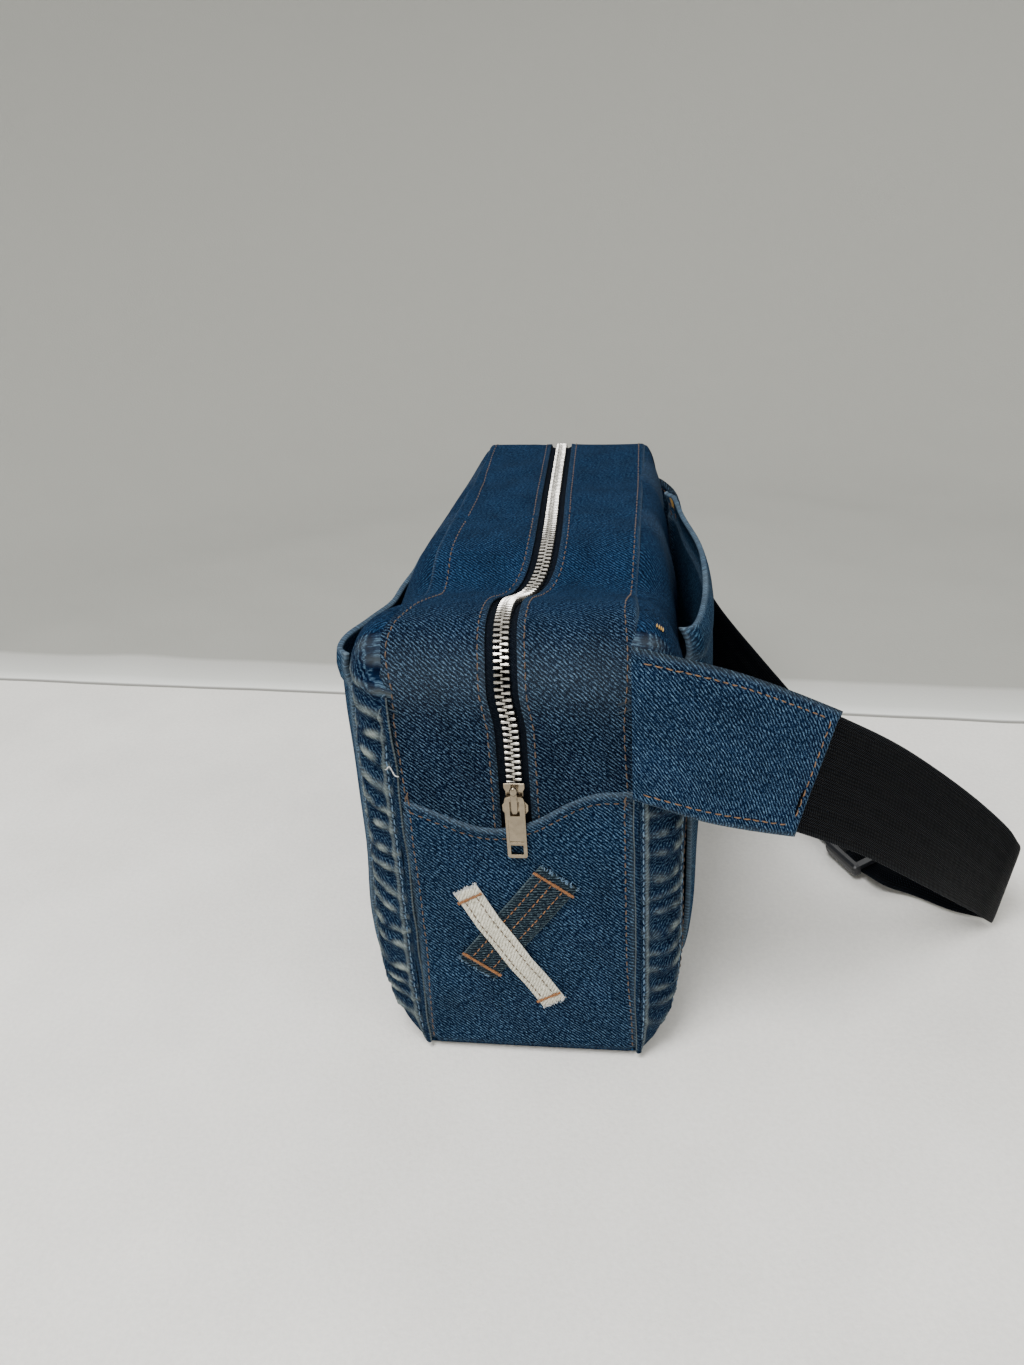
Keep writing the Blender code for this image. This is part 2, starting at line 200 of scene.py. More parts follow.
class Cylinders:
    """Many short rounded rods in one mesh: stitches, threads and frayed yarn.

    Normals are one direction for each point of a path, or one for all of it.
    """

    SIDES = 6

    def __init__(self):
        self.points, self.faces = [], []

    def rod(self, path, normals, radius, flat=1.0):
        path = np.array(path, float)
        normals = unit(np.broadcast_to(np.array(normals, float), path.shape))
        tangent = unit(np.gradient(path, axis=0))
        across = unit(np.cross(tangent, normals))
        normals = np.cross(across, tangent)
        start, count = len(self.points), len(path)
        taper = np.sin(np.linspace(0.12, math.pi - 0.12, count)) ** 0.35
        for i in range(count):
            for side in range(self.SIDES):
                angle = side / self.SIDES * math.tau
                reach = across[i] * math.cos(angle) + normals[i] * math.sin(angle) * flat
                self.points.append(path[i] + reach * radius * taper[i])
        self.faces.extend(ring_faces(start, count, self.SIDES))

    def seam(self, path, normals, seed=1, length=0.0031, pitch=0.0042, radius=0.00030, sway=0.00018):
        """Stitches along a path that lies on the cloth."""
        pick = random.Random(seed)
        path = np.array(path, float)
        normals = unit(np.broadcast_to(np.array(normals, float), path.shape))
        along = travelled(path)
        at = 0.0006
        while at + length < along[-1]:
            reach = length * pick.uniform(0.92, 1.06)
            places = at + np.linspace(0, reach, 5)
            rod, up = resample(path, along, places), unit(resample(normals, along, places))
            side = unit(np.cross(up, np.gradient(rod, axis=0)))
            rod = rod + side * np.linspace(-1, 1, 5)[:, None] * sway * pick.uniform(-1, 1.6)
            lift = radius * np.array([-0.5, 0.55, 0.8, 0.55, -0.5])
            self.rod(rod + up * lift[:, None], up, radius, 0.8)
            at += pitch * pick.uniform(0.95, 1.05)

    def object(self, name, finish):
        mesh = mesh_of(name, [tuple(point) for point in self.points], self.faces, finish)
        mesh.shade_smooth()
        return link(name, mesh)


# Materials


def add(tree, kind, inputs=None, **settings):
    node = tree.nodes.new(kind)
    for key, value in settings.items():
        setattr(node, key, value)
    for key, value in (inputs or {}).items():
        if isinstance(value, bpy.types.NodeSocket):
            tree.links.new(value, node.inputs[key])
        else:
            node.inputs[key].default_value = value
    return node


def calc(tree, operation, a, b=0.0, c=0.0, clamp=False):
    return add(tree, "ShaderNodeMath", {0: a, 1: b, 2: c}, operation=operation, use_clamp=clamp).outputs[0]


def mixed(tree, factor, a, b, how="MIX"):
    node = add(tree, "ShaderNodeMix", data_type="RGBA", blend_type=how)
    for socket, value in ((node.inputs[0], factor), (node.inputs[6], a), (node.inputs[7], b)):
        if isinstance(value, bpy.types.NodeSocket):
            tree.links.new(value, socket)
        else:
            socket.default_value = value
    return node.outputs[2]


def shade(name, roughness, metallic=0.0, **constants):
    made = bpy.data.materials.new(name)
    made.use_nodes = True
    shader = made.node_tree.nodes["Principled BSDF"]
    shader.inputs["Roughness"].default_value = roughness
    shader.inputs["Metallic"].default_value = metallic
    for key, value in constants.items():
        shader.inputs[key.replace("_", " ")].default_value = value
    return made, made.node_tree, shader


def cloth_place(tree, u_scale, v_scale, turn=0.0):
    where = add(tree, "ShaderNodeUVMap", uv_map="cloth").outputs[0]
    turned = add(tree, "ShaderNodeVectorRotate", {"Vector": where, "Angle": turn}, rotation_type="Z_AXIS")
    factors = {0: turned.outputs[0], 1: (u_scale, v_scale, 1)}
    return add(tree, "ShaderNodeVectorMath", factors, operation="MULTIPLY").outputs[0]


def speckle(tree, vector, detail=2.0, scale=1.0):
    inputs = {"Vector": vector, "Scale": scale, "Detail": detail, "Roughness": 0.6}
    return add(tree, "ShaderNodeTexNoise", inputs).outputs[0]


def painted(tree, name):
    """A number per point that the mesh carries."""
    return add(tree, "ShaderNodeAttribute", attribute_name=name).outputs["Fac"]


def dented(tree, shader, height, strength, distance):
    dent = add(tree, "ShaderNodeBump", {"Strength": strength, "Distance": distance, "Height": height})
    tree.links.new(dent.outputs[0], shader.inputs["Normal"])


def ramp(tree, factor, stops):
    node = add(tree, "ShaderNodeValToRGB", {0: factor})
    marks = node.color_ramp.elements
    while len(marks) < len(stops):
        marks.new(0.5)
    for mark, (place, color) in zip(marks, stops):
        mark.position = place
        mark.color = (*color, 1)
    return node.outputs[0]


def denim(name, dark, mid, light, worn=(0.22, 0.28, 0.32), lean=-0.85, pitch=0.0013, fade=0.5, second=None):
    """Twill: slanting ribs, broken up by pale weft flecks, faded in patches and worn where the mesh says.

    Where the mesh's own "second" is 1, it takes the second set of colours instead.
    """
    made, tree, shader = shade(name, 0.88, Specular_IOR_Level=0.03)
    warp = speckle(tree, cloth_place(tree, 260, 260), 1.0)
    ribs = add(tree, "ShaderNodeSeparateXYZ", {0: cloth_place(tree, 1 / pitch, 1 / pitch, lean)}).outputs[0]
    phase = calc(tree, "ADD", ribs, warp)
    rib = calc(tree, "MULTIPLY_ADD", calc(tree, "SINE", calc(tree, "MULTIPLY", phase, math.tau)), 0.5, 0.5)
    yarn = speckle(tree, cloth_place(tree, 1900, 600, lean), 3.0)
    fine = speckle(tree, cloth_place(tree, 2600, 2600), 2.0)
    height = calc(tree, "ADD", calc(tree, "MULTIPLY", rib, 0.15), calc(tree, "MULTIPLY", yarn, 0.62))
    height = calc(tree, "ADD", height, calc(tree, "MULTIPLY", fine, 0.46))
    colour = ramp(tree, height, ((0.51, dark), (0.64, mid), (0.82, light)))
    if second:
        other = ramp(tree, height, tuple(zip((0.50, 0.63, 0.81), second)))
        colour = mixed(tree, painted(tree, "second"), colour, other)
    patches = speckle(tree, cloth_place(tree, 70, 38), 6.0)
    soft = calc(tree, "MULTIPLY_ADD", calc(tree, "SUBTRACT", patches, 0.5), fade * 2.2, 1.0)
    grey = add(tree, "ShaderNodeCombineColor", {0: soft, 1: soft, 2: soft}).outputs[0]
    colour = mixed(tree, 1.0, colour, grey, "MULTIPLY")
    catches = calc(tree, "MULTIPLY_ADD", height, 1.5, -0.05)
    broken = calc(tree, "MULTIPLY", painted(tree, "wear"), catches, clamp=True)
    colour = mixed(tree, broken, colour, (*worn, 1))
    tree.links.new(colour, shader.inputs["Base Color"])
    dented(tree, shader, height, 0.55, 0.0006)
    return made


def thread(name, colour):
    made, tree, shader = shade(name, 0.7, Sheen_Weight=0.1)
    twist = speckle(tree, add(tree, "ShaderNodeTexCoord").outputs["Object"], 2.0, 900.0)
    dark = tuple(channel * 0.45 for channel in colour)
    tree.links.new(ramp(tree, twist, ((0.35, dark), (0.65, colour))), shader.inputs["Base Color"])
    return made


def webbing_finish():
    """Herringbone nylon: rows of small raised picks that slant one way and then the other."""
    made, tree, shader = shade("webbing_weave", 0.36, Specular_IOR_Level=0.02)
    place = add(tree, "ShaderNodeSeparateXYZ", {0: cloth_place(tree, 1.0, 1.0)})
    across, along = place.outputs[0], place.outputs[1]

    def wave(value, pitch, shift=0.0):
        turned = calc(tree, "MULTIPLY_ADD", value, math.tau / pitch, shift)
        return calc(tree, "MULTIPLY_ADD", calc(tree, "SINE", turned), 0.5, 0.5)

    zig = calc(tree, "PINGPONG", across, 0.0042)
    slant = calc(tree, "ADD", along, calc(tree, "MULTIPLY", zig, 0.85))
    rows = wave(slant, 0.00125)
    picks = calc(tree, "MULTIPLY", rows, wave(across, 0.0014))
    rib = calc(tree, "ADD", calc(tree, "MULTIPLY", picks, 0.75), calc(tree, "MULTIPLY", rows, 0.25))
    grain = speckle(tree, cloth_place(tree, 700, 2400), 2.0)
    height = calc(tree, "ADD", rib, calc(tree, "MULTIPLY", grain, 0.3))
    colour = ramp(tree, height, ((0.50, (0.0001, 0.0002, 0.0006)), (1.0, (0.0085, 0.0115, 0.0165))))
    colour = mixed(tree, painted(tree, "wear"), colour, (0.010, 0.013, 0.018, 1))
    tree.links.new(colour, shader.inputs["Base Color"])
    dented(tree, shader, height, 0.9, 0.0007)
    return made


def metal(name, colour, roughness):
    made, tree, shader = shade(name, roughness, 1.0)
    where = add(tree, "ShaderNodeTexCoord").outputs["Object"]
    tarnish = speckle(tree, where, 4.0, 260.0)
    dull = tuple(channel * 0.72 for channel in colour)
    tree.links.new(ramp(tree, tarnish, ((0.3, dull), (0.6, colour))), shader.inputs["Base Color"])
    rough = calc(tree, "MULTIPLY_ADD", speckle(tree, where, 3.0, 900.0), 0.22, roughness - 0.08)
    tree.links.new(rough, shader.inputs["Roughness"])
    return made


def plastic():
    made, tree, shader = shade("moulded_plastic", 0.42, Specular_IOR_Level=0.5)
    grain = speckle(tree, add(tree, "ShaderNodeTexCoord").outputs["Object"], 2.0, 1800.0)
    colour = ramp(tree, grain, ((0.3, (0.005, 0.006, 0.008)), (0.7, (0.010, 0.011, 0.014))))
    tree.links.new(colour, shader.inputs["Base Color"])
    dented(tree, shader, grain, 0.25, 0.0002)
    return made


# Each denim: its dark, middle and light yarns, and the colour where it is worn.
TOP_COLOURS = (0.0006, 0.0036, 0.0125), (0.0022, 0.0120, 0.0350), (0.028, 0.074, 0.145)
END_COLOURS = (0.0004, 0.0024, 0.0092), (0.0014, 0.0088, 0.0275), (0.095, 0.180, 0.280)
STRIP_COLOURS = (0.0002, 0.0013, 0.0056), (0.0007, 0.0046, 0.0160), (0.085, 0.150, 0.225)
WING_COLOURS = (0.0005, 0.0030, 0.0112), (0.0020, 0.0108, 0.0340), (0.110, 0.200, 0.300)
POCKET_COLOURS = (0.0013, 0.0062, 0.018), (0.0050, 0.0205, 0.050), (0.065, 0.14, 0.22)
SEAM_COLOURS = (0.0005, 0.0026, 0.011), (0.0020, 0.0090, 0.028), (0.06, 0.11, 0.16)
CHARCOAL_COLOURS = (0.002, 0.004, 0.008), (0.009, 0.017, 0.026), (0.09, 0.13, 0.15)
CREAM_COLOURS = (0.28, 0.265, 0.205), (0.56, 0.54, 0.455), (0.78, 0.76, 0.67)
TAPE_COLOURS = (0.002, 0.003, 0.006), (0.004, 0.006, 0.010), (0.012, 0.016, 0.022)

DENIM = denim("denim_dark", *END_COLOURS)
DENIM_STRIP = denim("denim_strip", *STRIP_COLOURS, second=TOP_COLOURS)
DENIM_WING = denim("denim_wing", *WING_COLOURS, lean=-0.80)
DENIM_PANEL = denim("denim_panel", *TOP_COLOURS)
DENIM_POCKET = denim("denim_pocket", *POCKET_COLOURS)
DENIM_WORN = denim("denim_worn", *SEAM_COLOURS, worn=(0.25, 0.29, 0.27))
DENIM_CHARCOAL = denim("denim_charcoal", *CHARCOAL_COLOURS, worn=(0.14, 0.19, 0.21))
CREAM = denim("cream_twill", *CREAM_COLOURS, worn=(0.85, 0.85, 0.80), fade=0.15)
COPPER = thread("thread_copper", (0.090, 0.047, 0.021))
ORANGE = thread("thread_orange", (0.30, 0.115, 0.028))
GOLD = thread("thread_gold", (0.20, 0.098, 0.036))
YELLOW = thread("thread_yellow", (0.48, 0.27, 0.05))
WHITE = thread("thread_white", (0.62, 0.64, 0.64))
INDIGO = thread("thread_indigo", (0.10, 0.19, 0.30))
TAPE = denim("zip_tape", *TAPE_COLOURS, pitch=0.0008, fade=0.1)
WEBBING = webbing_finish()
NICKEL = metal("nickel", (0.27, 0.225, 0.165), 0.20)
TEETH = metal("teeth_nickel", (0.52, 0.50, 0.46), 0.26)
PLASTIC = plastic()


# The zip strips: up one end face, over the corner and along the top


def sag(x):
    """How far the top stands above or below level: a crest behind the near face, then a dip."""
    return 0.0020 * bump(x, 0.128, 0.020) - 0.0100 * bump(x, 0.075, 0.026) - 0.0015 * bump(x, -0.06, 0.05)


def rail(end):
    """The middle line of the strips, from an end's foot to the middle of the top, as x and z.

    With it come its outward directions and the distance along it.
    """
    turn = np.linspace(0, math.pi / 2, 22)[1:]
    low = np.linspace(FOOT, TOP - CORNER, 36)
    far = np.linspace(LENGTH - CORNER, 0, 96)[1:]
    x = np.concatenate([np.full(36, LENGTH), LENGTH - CORNER + CORNER * np.cos(turn), far])
    z = np.concatenate([low, TOP - CORNER + CORNER * np.sin(turn), np.full(95, TOP)])
    z = z + sag(end * x) * smooth((LENGTH - x) / CORNER)
    path = stacked(end * x, z)
    steps = unit(np.gradient(path, axis=0))
    normal = stacked(steps[:, 1] * end, -steps[:, 0] * end)
    return path, normal, travelled(path)


RAILS = {end: rail(end) for end in (1, -1)}
ZIP_LINE = (
    (-0.158, -0.0040), (-0.12, -0.0025), (-0.08, -0.0010), (-0.04, 0.0007), (0.0, 0.0030),
    (0.02, 0.0040), (0.04, 0.0047), (0.06, 0.0038), (0.075, 0.0), (0.09, -0.0038),
    (0.105, -0.0049), (0.128, -0.0043), (0.15, -0.0033), (0.158, -0.0018),
)


def rail_length(end):
    return RAILS[end][2][-1]


def on_rail(end, s):
    """x and z of places along a rail, then x and z of its outward direction there."""
    path, normal, along = RAILS[end]
    return [np.interp(s, along, column) for column in (*path.T, *normal.T)]


def run_nodes(side, part, end, place):
    """The CAD nodes of one run: the near one also stands for the one along the top."""
    return [f"{side}_{part}_{place}"] + ([f"{side}_{part}_top"] if end > 0 else [])


def zip_middle(x, z):
    """The zip wanders sideways over the crest and the dip."""
    near_face = smooth((z - 0.168) / 0.02)
    wander = sum(np.interp(x + shift, *zip(*ZIP_LINE)) for shift in (-0.008, -0.004, 0, 0.004, 0.008)) / 5
    return wander * np.where(x > 0.1, near_face, 1.0)


def seam_reach(sign, x, z):
    """How far out a strip's outer edge lies."""
    corner = smooth((z - 0.165) / 0.03) * smooth((x - 0.095) / 0.035)
    return WIDTH + 0.0006 + corner * (0.0055 if sign < 0 else 0.0012)


def on_strip(end, s, y, depth=0.0):
    """Points on the strips' cloth, from their place along the rail and their y; depth is inwards."""
    x, z, nx, nz = on_rail(end, s)
    middle = zip_middle(x, z)
    from_zip = np.abs(y - middle)
    free = smooth((from_zip - TAPE_SHOWS) / 0.01) * smooth((s - 0.005) / 0.02)
    lift = 0.0009 * ripple(s, y, 5, 0.05) * free
    lift = lift + 0.0016 * bump(x, 0.082, 0.016) * bump(y, 0.026, 0.016) * free
    lift = lift + 0.0012 * bump(x, 0.105, 0.02) * bump(y, -0.030, 0.02) * free
    lift = lift + 0.0011 * bump(from_zip, TAPE_SHOWS + 0.0012, 0.0022)
    lift = lift - 0.0005 * bump(from_zip, TAPE_SHOWS + 0.0030, 0.0009)
    lift = lift - depth
    return stacked(x + nx * lift, y, z + nz * lift)


def strip_normals(end, s):
    _, _, nx, nz = on_rail(end, s)
    return stacked(nx, 0.0, nz)


def mouth_bend(side, end):
    return ("bag_body", f"mouth_{side}", (end * FLAP, 0, TOP), (end * FLAP_FULL, 0, TOP))


def strips():
    for side, sign, end, place in RUNS:
        s = np.linspace(0, rail_length(end), 190)[:, None]
        x, z = on_rail(end, s)[:2]
        inner = zip_middle(x, z) + sign * TAPE_SHOWS
        outer = sign * seam_reach(sign, x, z)
        t = np.linspace(0, 1, 46)[None, :]
        y = inner + (outer - inner) * t
        depth = np.zeros_like(y)
        # The zip-side edge is folded under, and the outer edge turns down into the seam.
        folds = ((0, 0.0010, 0.0021), (1, 0.0002, 0.0012), (2, 0.0, 0.0003))
        for column, inset, down in folds:
            y[:, column] = (inner + sign * inset)[:, 0]
            depth[:, column] = down
        depth = depth + 0.6 * np.maximum(0, np.abs(y) - WIDTH - 0.0003)
        depth[:, -1] += 0.0012
        depth[:, -2] += 0.0003
        points = on_strip(end, s, y, depth)
        uv = stacked(y, s + 0.3 * (end < 0))
        hem = np.abs(y - inner)
        wear = 0.08 * bump(hem, 0.0006, 0.0009) + 0.12 * bump(np.abs(y - outer), 0.0, 0.0010)
        wear = wear + 0.05 * bump(s, 0.078, 0.013) * (end > 0)
        nodes = run_nodes(side, "strip", end, place)
        piece = surface(f"{side}_strip_cloth_{place}", points, uv, DENIM_STRIP, wear)
        shade_by(piece, "second", smooth((s - 0.085) / 0.05) + 0 * y if end > 0 else np.ones_like(y))
        put(piece, nodes, bend=mouth_bend(side, end))

        t = np.linspace(0, 1, 9)[None, :]
        y = zip_middle(x, z) + sign * (0.0015 + 0.0100 * t)
        points = on_strip(end, s, y, 0.0019 + 0.0009 * bump(t, 0.0, 0.2))
        nodes = run_nodes(side, "tape", end, place)
        tape = surface(f"{side}_tape_cloth_{place}", points, stacked(y, s), TAPE)
        put(tape, nodes, bend=mouth_bend(side, end))


def teeth():
    """One solid per tooth: a clamp on the tape's edge and a narrower head that meshes across the middle."""
    # In millimetres: how far from the middle, and half the tooth's size along the zip there.
    half_outline = ((-0.55, 0.62), (0.25, 0.50), (0.75, 0.52), (1.75, 0.68), (3.05, 0.66), (3.2, 0.45))
    outline = [*half_outline, *((reach, -half) for reach, half in reversed(half_outline))]
    levels = ((0.0020, 1.0), (0.0004, 1.0), (-0.0004, 0.90), (-0.0007, 0.6))
    for side, sign, end, place in RUNS:
        first = 0.0225 if end > 0 else 0.012
        last = rail_length(end) - (0.0 if sign > 0 else TOOTH_PITCH / 2)
        points, faces = [], []
        for at in np.arange(last, first, -TOOTH_PITCH):
            middle = float(zip_middle(*on_rail(end, at)[:2]))
            base = len(points)
            for level, shrink in levels:
                for reach, half in outline:
                    y = middle + sign * (0.0013 + (reach / 1000 - 0.0013) * (0.5 + 0.5 * shrink))
                    spot = np.array(at + half / 1000 * shrink)
                    points.append(tuple(on_strip(end, spot, np.array(y), np.array(level))))
            faces.extend(ring_faces(base, len(levels), len(outline)))
        mesh = mesh_of("teeth", points, faces, TEETH)
        made = bmesh.new()
        made.from_mesh(mesh)
        bmesh.ops.recalc_face_normals(made, faces=made.faces)
        made.to_mesh(mesh)
        made.free()
        piece = link(f"{side}_teeth_metal_{place}", mesh)
        nodes = run_nodes(side, "teeth", end, place)
        put(piece, nodes, bend=mouth_bend(side, end))


def strip_seams():
    """Topstitching along both edges of every strip."""
    top_x = [-0.158, -0.12, -0.04, 0.02, 0.043, 0.09, 0.128, 0.15, 0.158]
    top_y = {-1: [0.044, 0.0445, 0.0400, 0.0405, 0.0405, 0.0385, 0.0450, 0.0490, 0.0450],
             1: [0.044, 0.0445, 0.0455, 0.0455, 0.0455, 0.0445, 0.0435, 0.0455, 0.0452]}
    for side, sign, end, place in RUNS:
        s = np.linspace(0.005, rail_length(end), 200)
        x, z = on_rail(end, s)[:2]
        sewn = Cylinders()
        close = zip_middle(x, z) + sign * (TAPE_SHOWS + 0.0029)
        sewn.seam(on_strip(end, s, close), strip_normals(end, s), 11 + end + sign)
        outer = np.interp(x, top_x, top_y[sign])
        outer = np.where(z < TOP - CORNER, 0.0450 - 0.0010 * smooth((z - 0.14) / 0.03) * sign, outer)
        outer = np.convolve(np.pad(outer, 6, "edge"), np.ones(13) / 13, "valid")
        sewn.seam(on_strip(end, s, sign * outer), strip_normals(end, s), 17 + end + sign)
        put(sewn.object(f"{side}_strip_stitching_{place}", COPPER), bend=mouth_bend(side, end))


# End gussets and base


GUSSET_SEAM = 0.0042  # from the gusset's top edge down to its stitching


def gusset_top(y):
    """The height of the gusset's waved top edge."""
    t = y / WIDTH
    return 0.1405 + 0.002 * t - 0.0165 * np.cos(math.pi / 2 * np.minimum(1, np.abs(t + 0.18))) ** 2


def on_gusset(end, y, z):
    """Points on an end gusset's cloth."""
    edge = smooth((np.abs(y) - 0.0435) / 0.0045)
    foot = smooth((0.010 - z) / 0.010)
    belly = bump(y, 0.004, 0.035) * bump(z, 0.07, 0.05)
    x = LENGTH + 0.0020 + 0.0010 * belly - 0.0016 * edge - 0.0040 * foot ** 2
    x = x + 0.0007 * ripple(y, z, 9 + end, 0.04) * smooth((z - 0.004) / 0.03)
    top = gusset_top(y)
    x = x - 0.0004 * bump(z, top - GUSSET_SEAM, 0.0009) + 0.0004 * bump(z, top - 0.0018, 0.0018)
    x = x - 0.0004 * bump(np.abs(y), side_line(z), 0.0009)
    return stacked(end * x, y, z)


def side_line(z):
    """Distance from the middle of the stitching beside a gusset's side seam."""
    return WIDTH - 0.0018 - 0.0020 * smooth((z - 0.01) / 0.05)


def gussets():
    for end, place in ENDS:
        t = np.linspace(0, 1, 110)[:, None]
        y = np.linspace(-WIDTH - 0.0004, WIDTH + 0.0004, 84)[None, :]
        z = 0.0006 + (gusset_top(y) - 0.0006) * t
        points = on_gusset(end, y, z)
        # The top edge is folded over towards the bag.
        folds = []
        for inward, rise in ((0.0004, 0.0006), (0.0011, 0.0009), (0.0018, 0.0005), (0.0021, -0.0015)):
            fold = points[-1].copy()
            fold[:, 0] -= end * inward
            fold[:, 2] += rise
            folds.append(fold)
        points = np.concatenate([points, np.array(folds)])
        drop = gusset_top(y) - z
        uv = stacked(y, z)
        uv = np.concatenate([uv, np.stack([uv[-1] + (0, 0.001 * k) for k in (1, 2, 3, 4)])])
        wear = 0.14 * bump(drop, 0.0, 0.0011) + 0.12 * bump(WIDTH - np.abs(y), 0.0006, 0.0014)
        wear = np.concatenate([wear, np.tile(wear[-1], (4, 1)) * np.array([[1.1], [0.9], [0.4], [0.1]])])
        cloth = surface(f"{place}_gusset_cloth", points, uv, DENIM, wear)
        put(cloth, [f"{place}_end_gusset"])

        sewn = Cylinders()
        y = np.linspace(-WIDTH + 0.003, WIDTH - 0.003, 80)
        sewn.seam(on_gusset(end, y, gusset_top(y) - GUSSET_SEAM), (end, 0, 0), 31 + end, 0.0027, 0.0036)
        z = np.linspace(0.006, 0.141, 90)
        for sign in (-1, 1):
            line = sign * side_line(z)
            sewn.seam(on_gusset(end, line, z), (end, 0, 0), 35 + sign, 0.0030, 0.0040)
            knot = np.linspace(-0.0016, 0.0016, 5)
            for k in range(4):
                tack = on_gusset(end, sign * 0.0440 + knot * 0.2 * (k - 1.5), 0.1385 + knot + 0.0006 * k)
                sewn.rod(tack + (end * 0.0004, 0, 0), (end, 0, 0), 0.0003)
        put(sewn.object(f"{place}_gusset_stitching", COPPER))

    x = np.linspace(-1, 1, 120)[:, None]
    y = np.linspace(-1, 1, 40)[None, :]
    roll = 0.0030 * np.maximum(np.abs(x) ** 30, np.abs(y) ** 12)
    points = stacked(x * 0.1565, y * 0.0490, 0.0002 + roll)
    base = surface("base_cloth", points, points[..., :2], DENIM_PANEL, None, 0.0015, 1.0)
    put(base, ["bottom_panel"])


# Front and back panels, puckered seam strips and pockets


def panel_low_high(x, dipped=1.0):
    """The heights of a panel's lower and upper edges; the upper one follows the corners and the dip."""
    past = np.maximum(0, np.abs(x) - (LENGTH - CORNER))
    high = PANEL_HIGH - CORNER + np.sqrt(np.maximum(0, CORNER ** 2 - past ** 2))
    return PANEL_LOW, high + sag(x) * smooth((LENGTH - x) / CORNER) * dipped


def on_panel(sign, x, z, dipped=1.0, wrinkled=False):
    """Points on a long side's cloth, which swells from its rim and most at the near end."""
    low, high = panel_low_high(x, dipped)
    t = np.clip((z - low) / (high - low), 0, 1)
    full = 1 - FAR_SLACK * (0.5 - x / (2 * LENGTH)) ** 2
    along = np.sqrt(np.maximum(0, 1 - np.abs(x / PANEL_REACH) ** 16))
    upright = np.sqrt(np.maximum(0, 1 - np.abs(2 * t - 1) ** 6))
    rim = seam_reach(sign, x, z) - 0.0012
    y = PANEL_RIM + (rim - PANEL_RIM) * smooth((t - 0.8) / 0.2) + PANEL_BULGE * full * along * upright
    if sign < 0:
        y = y + 0.0042 * bump(z, 0.045, 0.045) * along * smooth(t / 0.08) * smooth(x / 0.12)
    if wrinkled:
        calm = smooth((LENGTH - np.abs(x)) / 0.02) * smooth(np.minimum(t, 1 - t) / 0.1)
        y = y + 0.0011 * ripple(x, z, 21 + sign, 0.07) * calm
    return stacked(x, sign * y, z)


TUCK = ((0.0010, -0.0002), (0.0030, 0.0006), (0.0060, 0.0016))


def tucked(points, sign):
    """Adds rows that turn in under the strip above."""
    rows = [points]
    for inward, down in TUCK:
        row = points[-1:].copy()
        row[..., 1] -= sign * inward
        row[..., 2] -= down
        rows.append(row)
    return np.concatenate(rows)


def normals_of(points):
    along = np.gradient(points, axis=0)
    across = np.gradient(points, axis=1)
    return unit(np.cross(along, across))


def panels():
    for side, sign in LONG_SIDES:
        x = np.linspace(-STRIP_FROM - 0.0015, STRIP_FROM + 0.0015, 130)[None, :]
        t = (1 - np.cos(np.linspace(0, math.pi, 90)))[:, None] / 2
        low, high = panel_low_high(x)
        z = low + (high - low) * t
        points = tucked(on_panel(sign, x, z, wrinkled=True), sign)
        uv = stacked(x, points[..., 2] - 0.5 * np.abs(points[..., 1]))
        wear = 0.05 * np.clip(ripple(x, points[..., 2], 3, 0.05), 0, 1)
        cloth = surface(f"{side}_panel_cloth", points, uv, DENIM_PANEL, wear)
        put(cloth, [f"{side}_panel"])
        for end, place in ENDS:
            seam_strip(side, sign, end, place)
        seam = Cylinders()
        for end in (1, -1):
            z = np.linspace(0.012, 0.19, 120)
            line = on_panel(sign, end * (STRIP_FROM - 0.003), z, wrinkled=True)
            seam.seam(line, (0, sign, 0), 41 + end + sign)
        put(seam.object(f"{side}_panel_stitching", COPPER))


PUCKER_PITCH, PUCKER_HEIGHT = 0.0103, 0.0011
FELL_AT = 0.80  # where the felled ridge runs, from 0 at the strip's inner edge to 1 at the corner


